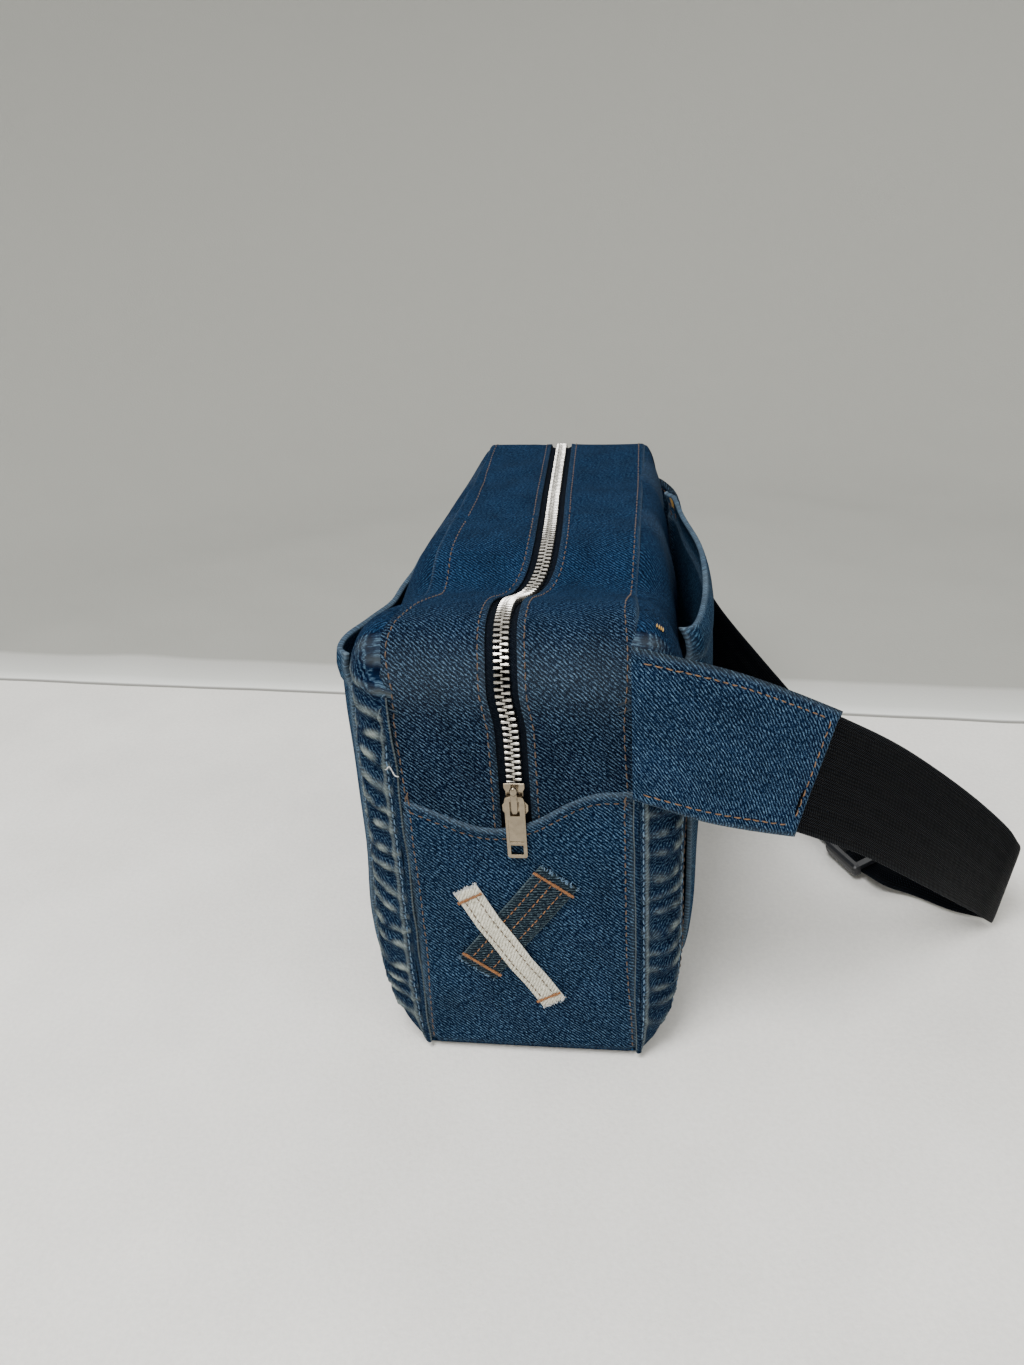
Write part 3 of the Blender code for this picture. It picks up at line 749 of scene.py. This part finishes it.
def seam_strip(side, sign, end, place):
    """A faded felled seam cut from a trouser leg: it puckers between its lines of stitching."""
    u = np.linspace(0, 1, 44)[None, :]
    t = np.linspace(0, 1, 260)[:, None]
    x = end * (STRIP_FROM + (STRIP_TO - STRIP_FROM) * (1 - (1 - u) ** 2.4))
    low, high = panel_low_high(x)
    z = low + (high - low) * t
    points = on_panel(sign, x, z)
    out = normals_of(points)
    out = out * np.sign(out[..., 1:2] * sign + out[..., 0:1] * end)
    pick = random.Random(51 + sign + 2 * end)
    shift = np.cumsum([pick.uniform(-0.35, 0.35) for _ in range(24)])
    uneven = np.interp(z, np.linspace(0, TOP, 24), shift)
    slope = 0.55 if sign < 0 else -0.45
    drift = 0.22 * uneven + 0.16 * ripple(u * 0.03, z, 61 + sign, 0.025)
    hill = np.cos((z / PUCKER_PITCH + slope * (u - 0.5) + drift) * math.tau)
    swell = np.sin(math.pi * np.clip(u, 0, 1)) ** 0.9 * smooth((z - 0.004) / 0.02)
    strength = 0.75 + 0.45 * ripple(z, u, 71 + end, 0.03)
    ridge = bump(u, FELL_AT, 0.05) * 0.0012
    points = tucked(points + out * (PUCKER_HEIGHT * hill * swell * strength + ridge)[..., None], sign)
    z, hill, swell, out = (
        np.concatenate([part, np.repeat(part[-1:], len(TUCK), 0)]) for part in (z, hill, swell, out)
    )
    uv = stacked(u * 0.03, z)
    reaches = 1.0 if sign < 0 else 0.30 + 0.7 * smooth((0.4 - u) / 0.1)
    streak = np.clip(0.16 + 0.84 * hill, 0, 1) ** 2.0 * swell * reaches
    wear = streak * (0.43 + 0.36 * ripple(u * 0.03, z, 81, 0.008)) + 0.30 * bump(u, FELL_AT, 0.03)
    wear = wear + 0.30 * bump(u, 0.10, 0.08) * (0.5 + 0.5 * hill)
    wear = wear * (0.25 + 0.75 * smooth((high[0].max() - z) / 0.03))
    cloth = surface(f"{side}_seam_cloth_{place}", points, uv, DENIM_WORN, np.clip(wear, 0, 1))
    put(cloth, [f"{side}_seam_strip_{place}"])

    sewn = Cylinders()
    for column, seed in ((37, 91), (5, 93)):
        line, up = points[12:-23:2, column], out[12:-23:2, column]
        sewn.seam(line, up, seed + sign + end, 0.0028, 0.0036, 0.00028)
    put(sewn.object(f"{side}_seam_stitching_{place}", INDIGO if end > 0 else COPPER))


WELT_X, WELT_Y = 0.1589, 0.0484


def welts():
    """The doubled seam allowance that shows as a thin ridge down each corner of the ends."""
    for end, place in ENDS:
        for side, sign in LONG_SIDES:
            z = np.linspace(0.0035, TOP - CORNER + 0.004, 150)
            sway = 0.00025 * ripple(z, 0 * z, 161 + sign, 0.03)
            middles = stacked(end * (WELT_X + sway), sign * (WELT_Y + sway), z)
            out = np.tile(unit(np.array((end, 0.7 * sign, 0.0))), (150, 1))
            sides = np.tile(unit(np.array((-0.7 * sign, end, 0.0))) * end, (150, 1))
            ridge = band(f"{side}_welt_{place}", middles, sides, out, 0.0026, 0.0022, DENIM_WORN, 0.9, 0.35)
            put(ridge)


# Per side: the middle and half the width along x, the lower and upper edges, and how far the mouth gapes.
POCKETS = {-1: (0.0, 0.132, 0.016, 0.191, 0.0070), 1: (0.0175, 0.0925, 0.018, 0.192, 0.0112)}
POCKET_LAYER = 0.0026
POCKET_HEM = 0.0130


def on_pocket(sign, u, v):
    """Points on a patch pocket's outer cloth, u and v from 0 to 1."""
    middle, half, low, high, depth = POCKETS[sign]
    x = middle + half * (2 * u - 1)
    z = low + (high - low) * v
    shape = np.sqrt(np.maximum(0, 1 - np.abs(2 * u - 1) ** 4))
    gape = smooth((x - 0.055) / 0.065) if sign < 0 else 1.0 - 0.45 * smooth((0.02 - x) / 0.09)
    away = depth * gape * shape * np.maximum(v, 0) ** 1.6 + 0.0022
    rim = smooth(np.minimum(np.minimum(u, 1 - u) * 2 * half, v * (high - low)) / 0.004)
    away = away * (0.35 + 0.65 * rim) + 0.0010 * ripple(x, z, 101 + sign, 0.06) * shape * rim
    point = on_panel(sign, x, z, dipped=0.0)
    point[..., 1] += sign * away
    if sign < 0:
        point[..., 2] -= 0.007 * (1 - gape) * v
    else:
        point[..., 2] -= 0.003 * shape * v
    return point


def pockets():
    for side, sign in LONG_SIDES:
        _, half, low, high, _ = POCKETS[sign]
        u = np.linspace(0, 1, 120)[None, :]
        v = np.linspace(0, 1, 90)[:, None]
        points = on_pocket(sign, u, v)
        up_from_low, hem_from_low = v * (high - low), high - low - POCKET_HEM
        doubled = smooth((up_from_low - hem_from_low) / 0.0012)
        points[..., 1] += sign * 0.0016 * doubled * (1 - 0.5 * np.abs(2 * v - 2 + 0.075) / 0.075)
        uv = stacked(u * 2 * half, up_from_low)
        side_gap = np.minimum(u, 1 - u) * 2 * half
        wear = 0.20 * bump(v, 1, 0.006) + 0.25 * bump(side_gap, 0.0, 0.0012)
        wear = wear + 0.15 * bump(up_from_low, hem_from_low, 0.0016)
        wear = wear + 0.07 * np.clip(ripple(u * 0.2, v * 0.2, 7 + sign, 0.06), 0, 1)
        cloth = surface(f"{side}_pocket_cloth", points, uv, DENIM_POCKET, wear, POCKET_LAYER, -sign)
        rim = cloth.modifiers.new("rim", "BEVEL")
        rim.width = 0.0007
        rim.segments = 2
        rim.limit_method = "ANGLE"
        put(cloth, [f"{side}_pocket"])
        sewn = Cylinders()
        t = np.linspace(0.01, 0.99, 160)
        lift = np.array([0, sign * 0.0012, 0])
        up = (0, sign, 0)
        hem = 1 - 0.0115 / (high - low)
        sewn.seam(on_pocket(sign, t, hem) + lift, up, 111 + sign)
        for inset in (0.0022, 0.0072):
            edge = inset / (2 * half)
            for place in (edge, 1 - edge):
                sewn.seam(on_pocket(sign, place, t) + lift * 0.4, up, 113 + sign)
            sewn.seam(on_pocket(sign, t, inset / (high - low)) + lift * 0.4, up, 117 + sign)
        put(sewn.object(f"{side}_pocket_stitching", COPPER))
        tacks = Cylinders()
        for edge in (0.0040 / (2 * half), 1 - 0.0040 / (2 * half)):
            for k in range(9):
                place = np.linspace(-0.0013, 0.0013, 5) / (2 * half)
                spot = on_pocket(sign, edge + place, 0.992 - k * 0.0035) + lift * 0.8
                tacks.rod(spot, up, 0.0003)
        put(tacks.object(f"{side}_pocket_tacks", YELLOW))


# Crossed belt loops


STRAP_THICKNESS = 0.0017  # of the webbing and of the belt loops


def band(name, middles, sides, ups, width, thickness, finish, square, wear):
    """A flat band with rounded edges along a line, its cloth coordinates running along and across it."""
    angles = np.linspace(0, math.tau, 28, endpoint=False)
    c, s = np.cos(angles), np.sin(angles)
    across = np.sign(c) * np.abs(c) ** square
    lift = np.sign(s) * np.abs(s) ** 0.75
    width = np.broadcast_to(width, (len(middles),))[:, None, None]
    points = middles[:, None] + sides[:, None] * across[None, :, None] * width / 2
    points = points + ups[:, None] * lift[None, :, None] * thickness / 2
    along = travelled(middles)[:, None]
    uv = stacked(across * width[..., 0] / 2, along)
    rim = np.clip((np.abs(across) - 0.93) / 0.07, 0, 1)[None, :] * wear + 0 * along
    return surface(name, points, uv, finish, rim, around=True, caps=True)


def loop_line(start, end, lifts):
    """Middles, across and up directions along a belt loop, and the direction from its start to its end."""
    t = np.linspace(0, 1, 60)
    start, end = np.array(start), np.array(end)
    yz = start + (end - start) * t[:, None]
    points = on_gusset(1, yz[:, 0], yz[:, 1])
    points[:, 0] += 0.0009 + np.interp(t, *lifts)
    away = np.array([0, *(end - start)])
    side = np.cross((1, 0, 0), away / np.linalg.norm(away))
    return points, np.tile(side, (60, 1)), np.tile((1.0, 0, 0), (60, 1)), away / np.linalg.norm(away)


def belt_loop(name, start, end, width, lines, lifts, finishes, pick):
    """One loop with its lines of stitching, the bartacks across its ends and the fray past them."""
    cloth, sewing, fraying = finishes
    middles, sides, ups, away = loop_line(start, end, lifts)
    piece = band(f"{name}_loop_cloth", middles, sides, ups, width, STRAP_THICKNESS, cloth, 0.28, 0.35)
    put(piece, [f"{name}_belt_loop"])
    sewn, tacks, frays = Cylinders(), Cylinders(), Cylinders()
    for line in lines:
        path = middles[4:-4] + sides[4:-4] * line + ups[4:-4] * 0.00088
        sewn.seam(path, ups[4:-4], 121, 0.0022, 0.0030, 0.00026)
    for at, tip, toward in ((3, 0, -1), (-4, -1, 1)):
        for k in np.linspace(-0.5, 0.5, int(width / 0.00055)):
            across = sides[at] * k * width * 1.04
            slant = away * 0.0008 * pick.uniform(0.7, 1.2)
            spot = middles[at] + across + ups[at] * 0.0012 - away * toward * 0.0006
            tacks.rod([spot - slant, spot + ups[at] * 0.0002, spot + slant], ups[at], 0.00034)
        for _ in range(42):
            place = pick.uniform(-0.5, 0.5)
            root = middles[tip] + sides[tip] * place * width - away * toward * 0.0006
            reach = away * toward * pick.uniform(0.0008, 0.0021)
            reach = reach + sides[at] * pick.uniform(-0.0013, 0.0013)
            curl = ups[at] * pick.uniform(-0.0004, 0.0014)
            path = [root, root + reach * 0.5 + curl, root + reach + curl * 0.4]
            frays.rod(curve_through(path, 3), ups[at], pick.uniform(0.00012, 0.00024))
    put(sewn.object(f"{name}_loop_stitching", sewing))
    put(tacks.object(f"{name}_loop_tacks", ORANGE))
    put(frays.object(f"{name}_loop_frays", fraying))


def belt_loops():
    """The dark loop lies flat; the light one crosses over it. Places are y and z on the gusset."""
    pick = random.Random(7)
    flat = ((0, 1), (0, 0))
    over = ((0, 0.12, 0.26, 0.62, 0.78, 1), (0, 0.0004, 0.0019, 0.0019, 0.0004, 0))
    dark_lines, light_lines = (0.0050, -0.0005, -0.0055), (0.0028, -0.0030)
    dark_finishes, light_finishes = (DENIM_CHARCOAL, ORANGE, INDIGO), (CREAM, COPPER, WHITE)
    belt_loop("dark", (0.0165, 0.1025), (-0.0215, 0.0515), 0.0190, dark_lines, flat, dark_finishes,
              pick)
    belt_loop("light", (-0.0235, 0.0950), (0.0115, 0.0340), 0.0113, light_lines, over, light_finishes,
              pick)


# Strap


# Stations along each run: its middle, its direction across, and for the wings its width.
WEBBING_WIDTH = 0.050
NEAR_WING = [
    ((0.1604, 0.0470, 0.1740), (0.00, 0.00, 1.00), 0.067),
    ((0.1603, 0.0560, 0.1712), (-0.02, 0.02, 1.00), 0.0665),
    ((0.1575, 0.0680, 0.1662), (-0.09, 0.07, 0.98), 0.065),
    ((0.1492, 0.0900, 0.1552), (-0.28, 0.22, 0.93), 0.0605),
    ((0.1360, 0.1212, 0.1384), (-0.45, 0.35, 0.82), 0.0545),
]
NEAR_WEBBING = [
    ((0.1400, 0.1130, 0.1432), (-0.42, 0.33, 0.84)),
    ((0.1353, 0.1224, 0.1374), (-0.45, 0.35, 0.82)),
    ((0.1140, 0.1520, 0.1117), (-0.44, 0.32, 0.84)),
    ((0.0920, 0.1860, 0.0780), (-0.30, 0.27, 0.91)),
    ((0.0730, 0.2145, 0.0470), (-0.09, 0.21, 0.97)),
    ((0.0665, 0.2245, 0.0345), (0.00, 0.15, 0.98)),
    ((0.0615, 0.2290, 0.0275), (0.05, 0.12, 0.99)),
    ((0.0550, 0.2280, 0.0256), (0.02, 0.20, 0.98)),
    ((0.0475, 0.2190, 0.0245), (-0.10, 0.38, 0.92)),
    ((0.0310, 0.2055, 0.0205), (-0.28, 0.62, 0.73)),
]
FAR_WING = [
    ((-0.1606, 0.0475, 0.1450), (0.00, 0.00, 1.00), 0.063),
    ((-0.1602, 0.0560, 0.1440), (0.00, 0.05, 1.00), 0.062),
    ((-0.1510, 0.0640, 0.1400), (0.15, 0.08, 0.98), 0.060),
    ((-0.1290, 0.0690, 0.1310), (0.40, 0.08, 0.91), 0.057),
    ((-0.1060, 0.0740, 0.1230), (0.52, 0.10, 0.85), 0.054),
]
FAR_WEBBING = [
    ((-0.1120, 0.0728, 0.1252), (0.50, 0.10, 0.86)),
    ((-0.1053, 0.0743, 0.1226), (0.52, 0.10, 0.85)),
    ((-0.0960, 0.0870, 0.0940), (0.42, 0.28, 0.86)),
    ((-0.0880, 0.1070, 0.0620), (0.22, 0.55, 0.81)),
    ((-0.0870, 0.1280, 0.0310), (-0.05, 0.78, 0.62)),
    ((-0.0760, 0.1425, 0.0150), (-0.35, 0.87, 0.35)),
]
PLUG_BLEND_FROM = 4  # the near webbing's station from where it would follow the plug; put() bakes the webbing and does not bend it
BUCKLE_MIDDLE = Vector((0.0132, 0.1895, 0.0118))
BUCKLE_ALONG, BUCKLE_ACROSS = Vector((-0.887, -0.461, 0)), Vector((0.45, -0.87, -0.2))
# The webbing's last stretch, threaded through each half of the buckle: along and up in the buckle's frame.
NEAR_TAIL = ((-0.0100, 0.0010), (0.0020, -0.0019), (0.0072, 0.0000), (0.0120, 0.0022), (0.0165, 0.0000))
FAR_TAIL = ((0.0840, 0.0020), (0.0780, 0.0037), (0.0735, 0.0037), (0.0690, 0.0010), (0.0680, -0.0030))


def buckle_frame():
    """From the buckle's own axes to the scene's."""
    x = BUCKLE_ALONG.normalized()
    y = (BUCKLE_ACROSS - x * x.dot(BUCKLE_ACROSS)).normalized()
    return Matrix.Translation(BUCKLE_MIDDLE) @ Matrix((x, y, x.cross(y))).transposed().to_4x4()


def lay(stations, each):
    """Middles, across directions, up directions and widths along a band."""
    line = curve_through([(*middle, *side, width) for middle, side, width in stations], each)
    middles, sides, widths = line[:, :3], unit(line[:, 3:6]), line[:, 6]
    tangent = unit(np.gradient(middles, axis=0))
    ups = unit(np.cross(tangent, sides))
    return middles, sides, ups, widths


def wing(name, stations):
    """Two layers of denim, thinned and grooved towards their sewn edges."""
    middles, sides, ups, widths = lay(stations, 14)
    t = np.linspace(-1, 1, 40)
    along = travelled(middles)
    faces = []
    for face in (1, -1):
        gap = (1 - np.abs(t))[None, :] * widths[:, None] / 2
        end_gap = (along[-1] - along)[:, None] + 0 * gap
        nearest = np.minimum(gap, end_gap)
        half = 0.0021 * np.sqrt(np.clip(nearest / 0.0016, 0, 1)) - 0.0006 * bump(nearest, 0.0050, 0.0010)
        half = half + 0.0003 * ripple(along[:, None], t[None, :] * 0.03, 131, 0.02) * smooth(nearest / 0.006)
        points = middles[:, None] + sides[:, None] * (t[None, :] * widths[:, None] / 2)[..., None]
        points = points + ups[:, None] * face * half[..., None]
        uv = stacked(t * widths[:, None] / 2, along[:, None])
        wear = 0.20 * bump(nearest, 0.0004, 0.0011)
        faces.append((points, uv, wear))
    points, uv, wear = (np.concatenate([a, b[:, ::-1]], axis=1) for a, b in zip(*faces))
    put(surface(f"{name}_cloth", points, uv, DENIM_WING, wear, around=True), [name])
    sewn = Cylinders()
    inset, stop = 0.0050, along[-1] - 0.0050
    for face in (1, -1):
        lift = ups * face * 0.0017
        places = np.linspace(0.004, stop, 80)
        edges = []
        for sign in (1, -1):
            edge = middles + sides * sign * (widths / 2 - inset)[:, None] + lift
            path, up = resample(edge, along, places), resample(ups * face, along, places)
            sewn.seam(path, up, 141 + sign)
            edges.append(path[-1])
        across = np.linspace(0, 1, 40)[:, None]
        end_path = edges[0] + (edges[1] - edges[0]) * across
        sewn.seam(end_path, up[-1], 145)
    put(sewn.object(f"{name}_stitching", GOLD))


def strap():
    wing("near_wing", NEAR_WING)
    wing("far_wing", FAR_WING)
    frame_at = buckle_frame()
    across = tuple(frame_at.to_3x3() @ Vector((0, -1, 0)))
    plug = tuple(frame_at @ Vector((-0.006, 0, 0)))
    follows = ("bag_body", "buckle_plug", NEAR_WEBBING[PLUG_BLEND_FROM][0], plug)
    runs = (
        ("near_webbing_weave", NEAR_WEBBING, NEAR_TAIL, ["near_webbing", "near_webbing_tail"], follows),
        ("far_webbing_weave", FAR_WEBBING, FAR_TAIL, ["far_webbing"], None),
    )
    for name, stations, tail, nodes, bend in runs:
        line = stations + [(tuple(frame_at @ Vector((x, 0, z))), across) for x, z in tail]
        middles, sides, ups, widths = lay([(*station, WEBBING_WIDTH) for station in line], 12)
        piece = band(name, middles, sides, ups, widths, STRAP_THICKNESS, WEBBING, 0.22, 0.35)
        put(piece, nodes, bend=bend)
    for node in ("buckle_male", "buckle_female", "buckle_arm_front", "buckle_arm_back"):
        dress(node, PLASTIC)


def dress(node, finish):
    """Gives a CAD node, which stays as it is, a better finish."""
    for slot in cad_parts[node].material_slots:
        slot.material = finish


# Slider and pull


def solid(name, outline, low, high, finish, bevel=0.0004, holes=()):
    """An outline in (y, z) given depth along x, with holes cut through it and its edges rounded."""
    made = bmesh.new()
    face = made.faces.new([made.verts.new((low, y, z)) for y, z in outline])
    pushed = bmesh.ops.extrude_face_region(made, geom=[face])
    moved = [item for item in pushed["geom"] if isinstance(item, bmesh.types.BMVert)]
    bmesh.ops.translate(made, vec=(high - low, 0, 0), verts=moved)
    bmesh.ops.recalc_face_normals(made, faces=made.faces)
    mesh = bpy.data.meshes.new(name)
    made.to_mesh(mesh)
    made.free()
    mesh.materials.append(finish)
    obj = link(name, mesh)
    for (y0, y1), (z0, z1), (x0, x1) in holes:
        cutter_mesh = bpy.data.meshes.new("cutter")
        made = bmesh.new()
        bmesh.ops.create_cube(made, size=1)
        bmesh.ops.scale(made, vec=(x1 - x0, y1 - y0, z1 - z0), verts=made.verts)
        bmesh.ops.translate(made, vec=((x0 + x1) / 2, (y0 + y1) / 2, (z0 + z1) / 2), verts=made.verts)
        made.to_mesh(cutter_mesh)
        made.free()
        cutter = link("cutter", cutter_mesh)
        cut = obj.modifiers.new("cut", "BOOLEAN")
        cut.object = cutter
        cut.operation = "DIFFERENCE"
        cut.solver = "EXACT"
        bake(obj)
        bpy.data.objects.remove(cutter, do_unlink=True)
    rounding = obj.modifiers.new("rounding", "BEVEL")
    rounding.width = bevel
    rounding.segments = 3
    rounding.limit_method = "ANGLE"
    bake(obj)
    obj.data.shade_smooth()
    sharp = obj.modifiers.new("flats", "WEIGHTED_NORMAL")
    sharp.keep_sharp = True
    return obj


def bake(obj):
    """Turns the modifiers' result into the mesh itself."""
    graph = bpy.context.evaluated_depsgraph_get()
    made = bpy.data.meshes.new_from_object(obj.evaluated_get(graph), depsgraph=graph)
    obj.modifiers.clear()
    obj.data = made


def mirrored(half):
    """An outline and its mirror image across y = 0, from one half."""
    return list(half) + [(-y, z) for y, z in reversed(half)]


def slider():
    face = LENGTH
    crown = ((0.0043, 0.1468), (0.0043, 0.1446), (0.0036, 0.1432), (0.0035, 0.1388), (0.0046, 0.1376),
             (0.0053, 0.1366), (0.0053, 0.1338), (0.0044, 0.1325), (0.0036, 0.1316))
    body = solid("slider_shell", mirrored(crown), face + 0.0009, face + 0.0019, NICKEL, 0.0003)
    put(body, ["slider_body"], "zip_slider")
    inner = solid("slider_inner", mirrored(crown), face - 0.0052, face - 0.0040, NICKEL, 0.0003)
    put(inner, (), "zip_slider")
    neck = ((0.0002, 0.1462), (0.00025, 0.1420), (0.0002, 0.1395))
    neck = solid("slider_neck", mirrored(neck), face - 0.0045, face + 0.0010, NICKEL, 0.00005)
    put(neck, (), "zip_slider")
    tongue = ((0.0008, 0.1462), (0.0013, 0.1456), (0.0014, 0.1440), (0.0013, 0.1352), (0.0009, 0.1338))
    cap = solid("slider_cap_metal", mirrored(tongue), face + 0.0016, face + 0.0044, NICKEL, 0.0009)
    put(cap, ["slider_cap"], "zip_slider")
    made = bmesh.new()
    bmesh.ops.create_uvsphere(made, u_segments=24, v_segments=14, radius=0.0018)
    bmesh.ops.scale(made, vec=(0.75, 0.95, 1.15), verts=made.verts)
    bmesh.ops.translate(made, vec=(face + 0.0040, 0, 0.1444), verts=made.verts)
    mesh = bpy.data.meshes.new("slider_nub")
    made.to_mesh(mesh)
    made.free()
    mesh.shade_smooth()
    mesh.materials.append(NICKEL)
    put(link("slider_nub", mesh), (), "zip_slider")


def pull():
    """The pull's plate: the slot it hangs by, a sunk field and the eye at its end."""
    hinge_x, hinge_z, half = 0.1610, 0.1405, 0.0041
    low = hinge_z - 0.0285
    outline = ((0.0026, hinge_z + 0.0012), (0.0036, hinge_z + 0.0008), (half, hinge_z - 0.001),
               (half, low + 0.0009), (half - 0.0007, low))
    front = hinge_x + 0.0008
    through = (hinge_x - 0.003, hinge_x + 0.003)
    holes = (
        ((-0.0020, 0.0020), (hinge_z - 0.0080, hinge_z - 0.0010), through),
        ((-0.0026, 0.0026), (low + 0.0017, low + 0.0062), through),
        ((-0.0030, 0.0030), (low + 0.0076, hinge_z - 0.0098), (front - 0.00045, front + 0.002)),
    )
    plate = solid("pull_plate", mirrored(outline), hinge_x - 0.0007, front, NICKEL, 0.00022, holes)
    put(plate, ["pull_tab"], "zip_pull")


def loose_threads():
    """A stray white thread on the front seam, a bartack by the back seam and fuzz along both."""
    pick = random.Random(17)
    stray = Cylinders()
    path = curve_through([(0.1588, -0.0535, 0.1560), (0.1598, -0.0515, 0.1525), (0.1592, -0.0500, 0.1535),
                          (0.1600, -0.0480, 0.1500), (0.1604, -0.0462, 0.1495)], 5)
    stray.rod(path, (1, 0, 0), 0.00028)
    put(stray.object("stray_thread", WHITE))
    knots = Cylinders()
    x = np.array((STRIP_FROM - 0.0060, STRIP_FROM - 0.0045, STRIP_FROM - 0.0030))
    _, high = panel_low_high(x)
    for k in range(4):
        line = on_panel(1, x, high - 0.0022 - 0.0006 * k)
        knots.rod(line + (0, 0.0008, 0.0006), (0, 0, 1), 0.00035)
    put(knots.object("corner_tack", YELLOW))
    fuzz = Cylinders()
    for sign in (-1, 1):
        for _ in range(170):
            root = np.array((0.1588, sign * 0.0482, pick.uniform(0.01, 0.19)))
            out, aside = pick.uniform(0.0002, 0.0012), sign * pick.uniform(-0.0006, 0.0012)
            tip = root + (out, aside, pick.uniform(-0.0012, 0.0012))
            fuzz.rod([root, (root + tip) / 2 + (0.0002, 0, 0.0002), tip], (1, 0.1, 0), 0.00011)
    put(fuzz.object("seam_fuzz", INDIGO))


# Studio


def stage():
    """One round sheet: the floor, which lifts into a wall far from the bag on every side."""
    rings = [0, 0.02, *np.linspace(0.06, 1.4, 110), *np.linspace(1.45, 2.2, 20)]
    angles = np.linspace(0, math.tau, 240, endpoint=False)
    r, a = np.array(rings)[:, None], angles[None, :]
    x, y = r * np.cos(a), r * np.sin(a)
    wall = smooth((r - 0.7) / 2.6) * 2.6
    folds = (0.0010 * ripple(x, y, 151, 0.16) + 0.0007 * ripple(x, y, 153, 0.06)) * smooth((r - 0.22) / 0.25)
    z = -0.0004 + np.maximum(folds, -0.0006) + wall
    floor = surface("floor", stacked(x, y, z), stacked(x, y), floor_and_painted_wall_shade_finish(), around=True)


# The painted wall starts at x = WALL_AT, and its colours spread over WALL_BAND behind that: painted shadow
# along its foot, a painted highlight just behind that, then grey painted shade that darkens further back.
WALL_AT, WALL_BAND, WALL_TILT = -0.172, 0.060, -0.075
WALL_SHADE_AND_HIGHLIGHT_STOPS = ((0.0, (0.22, 0.22, 0.20)), (0.05, (0.30, 0.30, 0.28)), (0.09, (0.82, 0.83, 0.80)),
              (0.30, (0.62, 0.63, 0.60)), (0.80, (0.50, 0.50, 0.475)), (0.92, (0.355, 0.355, 0.330)))


def floor_and_painted_wall_shade_finish():
    made, tree, shader = shade("floor_cloth_and_painted_wall_shade", 0.95, Specular_IOR_Level=0.2)
    where = add(tree, "ShaderNodeUVMap", uv_map="cloth").outputs[0]
    parts = add(tree, "ShaderNodeSeparateXYZ", {0: where})
    line = calc(tree, "MULTIPLY_ADD", parts.outputs[1], WALL_TILT, parts.outputs[0])
    wavy = calc(tree, "MULTIPLY_ADD", speckle(tree, where, 2.0, 5.0), 0.010, line)
    behind = calc(tree, "MULTIPLY_ADD", wavy, -1 / WALL_BAND, WALL_AT / WALL_BAND, clamp=True)
    weave = speckle(tree, where, 4.0, 420.0)
    blotch = speckle(tree, where, 4.0, 9.0)
    pale = ramp(tree, blotch, ((0.3, (0.80, 0.785, 0.750)), (0.7, (0.91, 0.893, 0.852))))
    fine = ramp(tree, weave, ((0.3, (0.92, 0.92, 0.92)), (0.7, (1.0, 1.0, 1.0))))
    pale = mixed(tree, 1.0, pale, fine, "MULTIPLY")
    # The wall is painted light and shade on the floor sheet, not a built wall: a painted shadow line, a
    # painted highlight and grey painted shade.
    wall = ramp(tree, behind, WALL_SHADE_AND_HIGHLIGHT_STOPS)
    is_painted_wall_shade = calc(tree, "GREATER_THAN", behind, 0.0)
    colour = mixed(tree, is_painted_wall_shade, pale, wall)
    tree.links.new(colour, shader.inputs["Base Color"])
    dented(tree, shader, weave, 0.35, 0.001)
    return made


def light(name, place, target, size, power):
    data = bpy.data.lights.new(name, "AREA")
    data.shape = "DISK"
    data.size = size
    data.energy = power
    obj = link(name, data)
    obj.location = place
    obj.rotation_euler = (Vector(target) - Vector(place)).to_track_quat("-Z", "Y").to_euler()


def studio():
    light("key", (0.65, -0.30, 1.35), (0.05, 0, 0.05), 0.7, 24)
    light("fill", (0.9, 1.0, 0.9), (0, 0, 0.1), 1.2, 5)
    light("back", (-0.9, 0.2, 1.3), (0, 0, 0.1), 1.0, 4)
    world = bpy.data.worlds.new("studio")
    bpy.context.scene.world = world
    world.use_nodes = True
    sky = world.node_tree.nodes["Background"]
    sky.inputs["Color"].default_value = (0.985, 0.98, 0.94, 1)
    sky.inputs["Strength"].default_value = 0.78


def camera():
    data = bpy.data.cameras.new("camera")
    data.lens = LENS
    data.sensor_width = 36
    data.clip_start = 0.01
    obj = link("camera", data)
    right, up = Vector(RIGHT), Vector(UP)
    turned = Matrix((right, up, right.cross(up))).transposed().to_4x4()
    obj.matrix_world = Matrix.Translation(EYE) @ turned
    bpy.context.scene.camera = obj


camera()
stage()
studio()
strips()
teeth()
strip_seams()
gussets()
panels()
welts()
pockets()
belt_loops()
slider()
pull()
strap()
loose_threads()
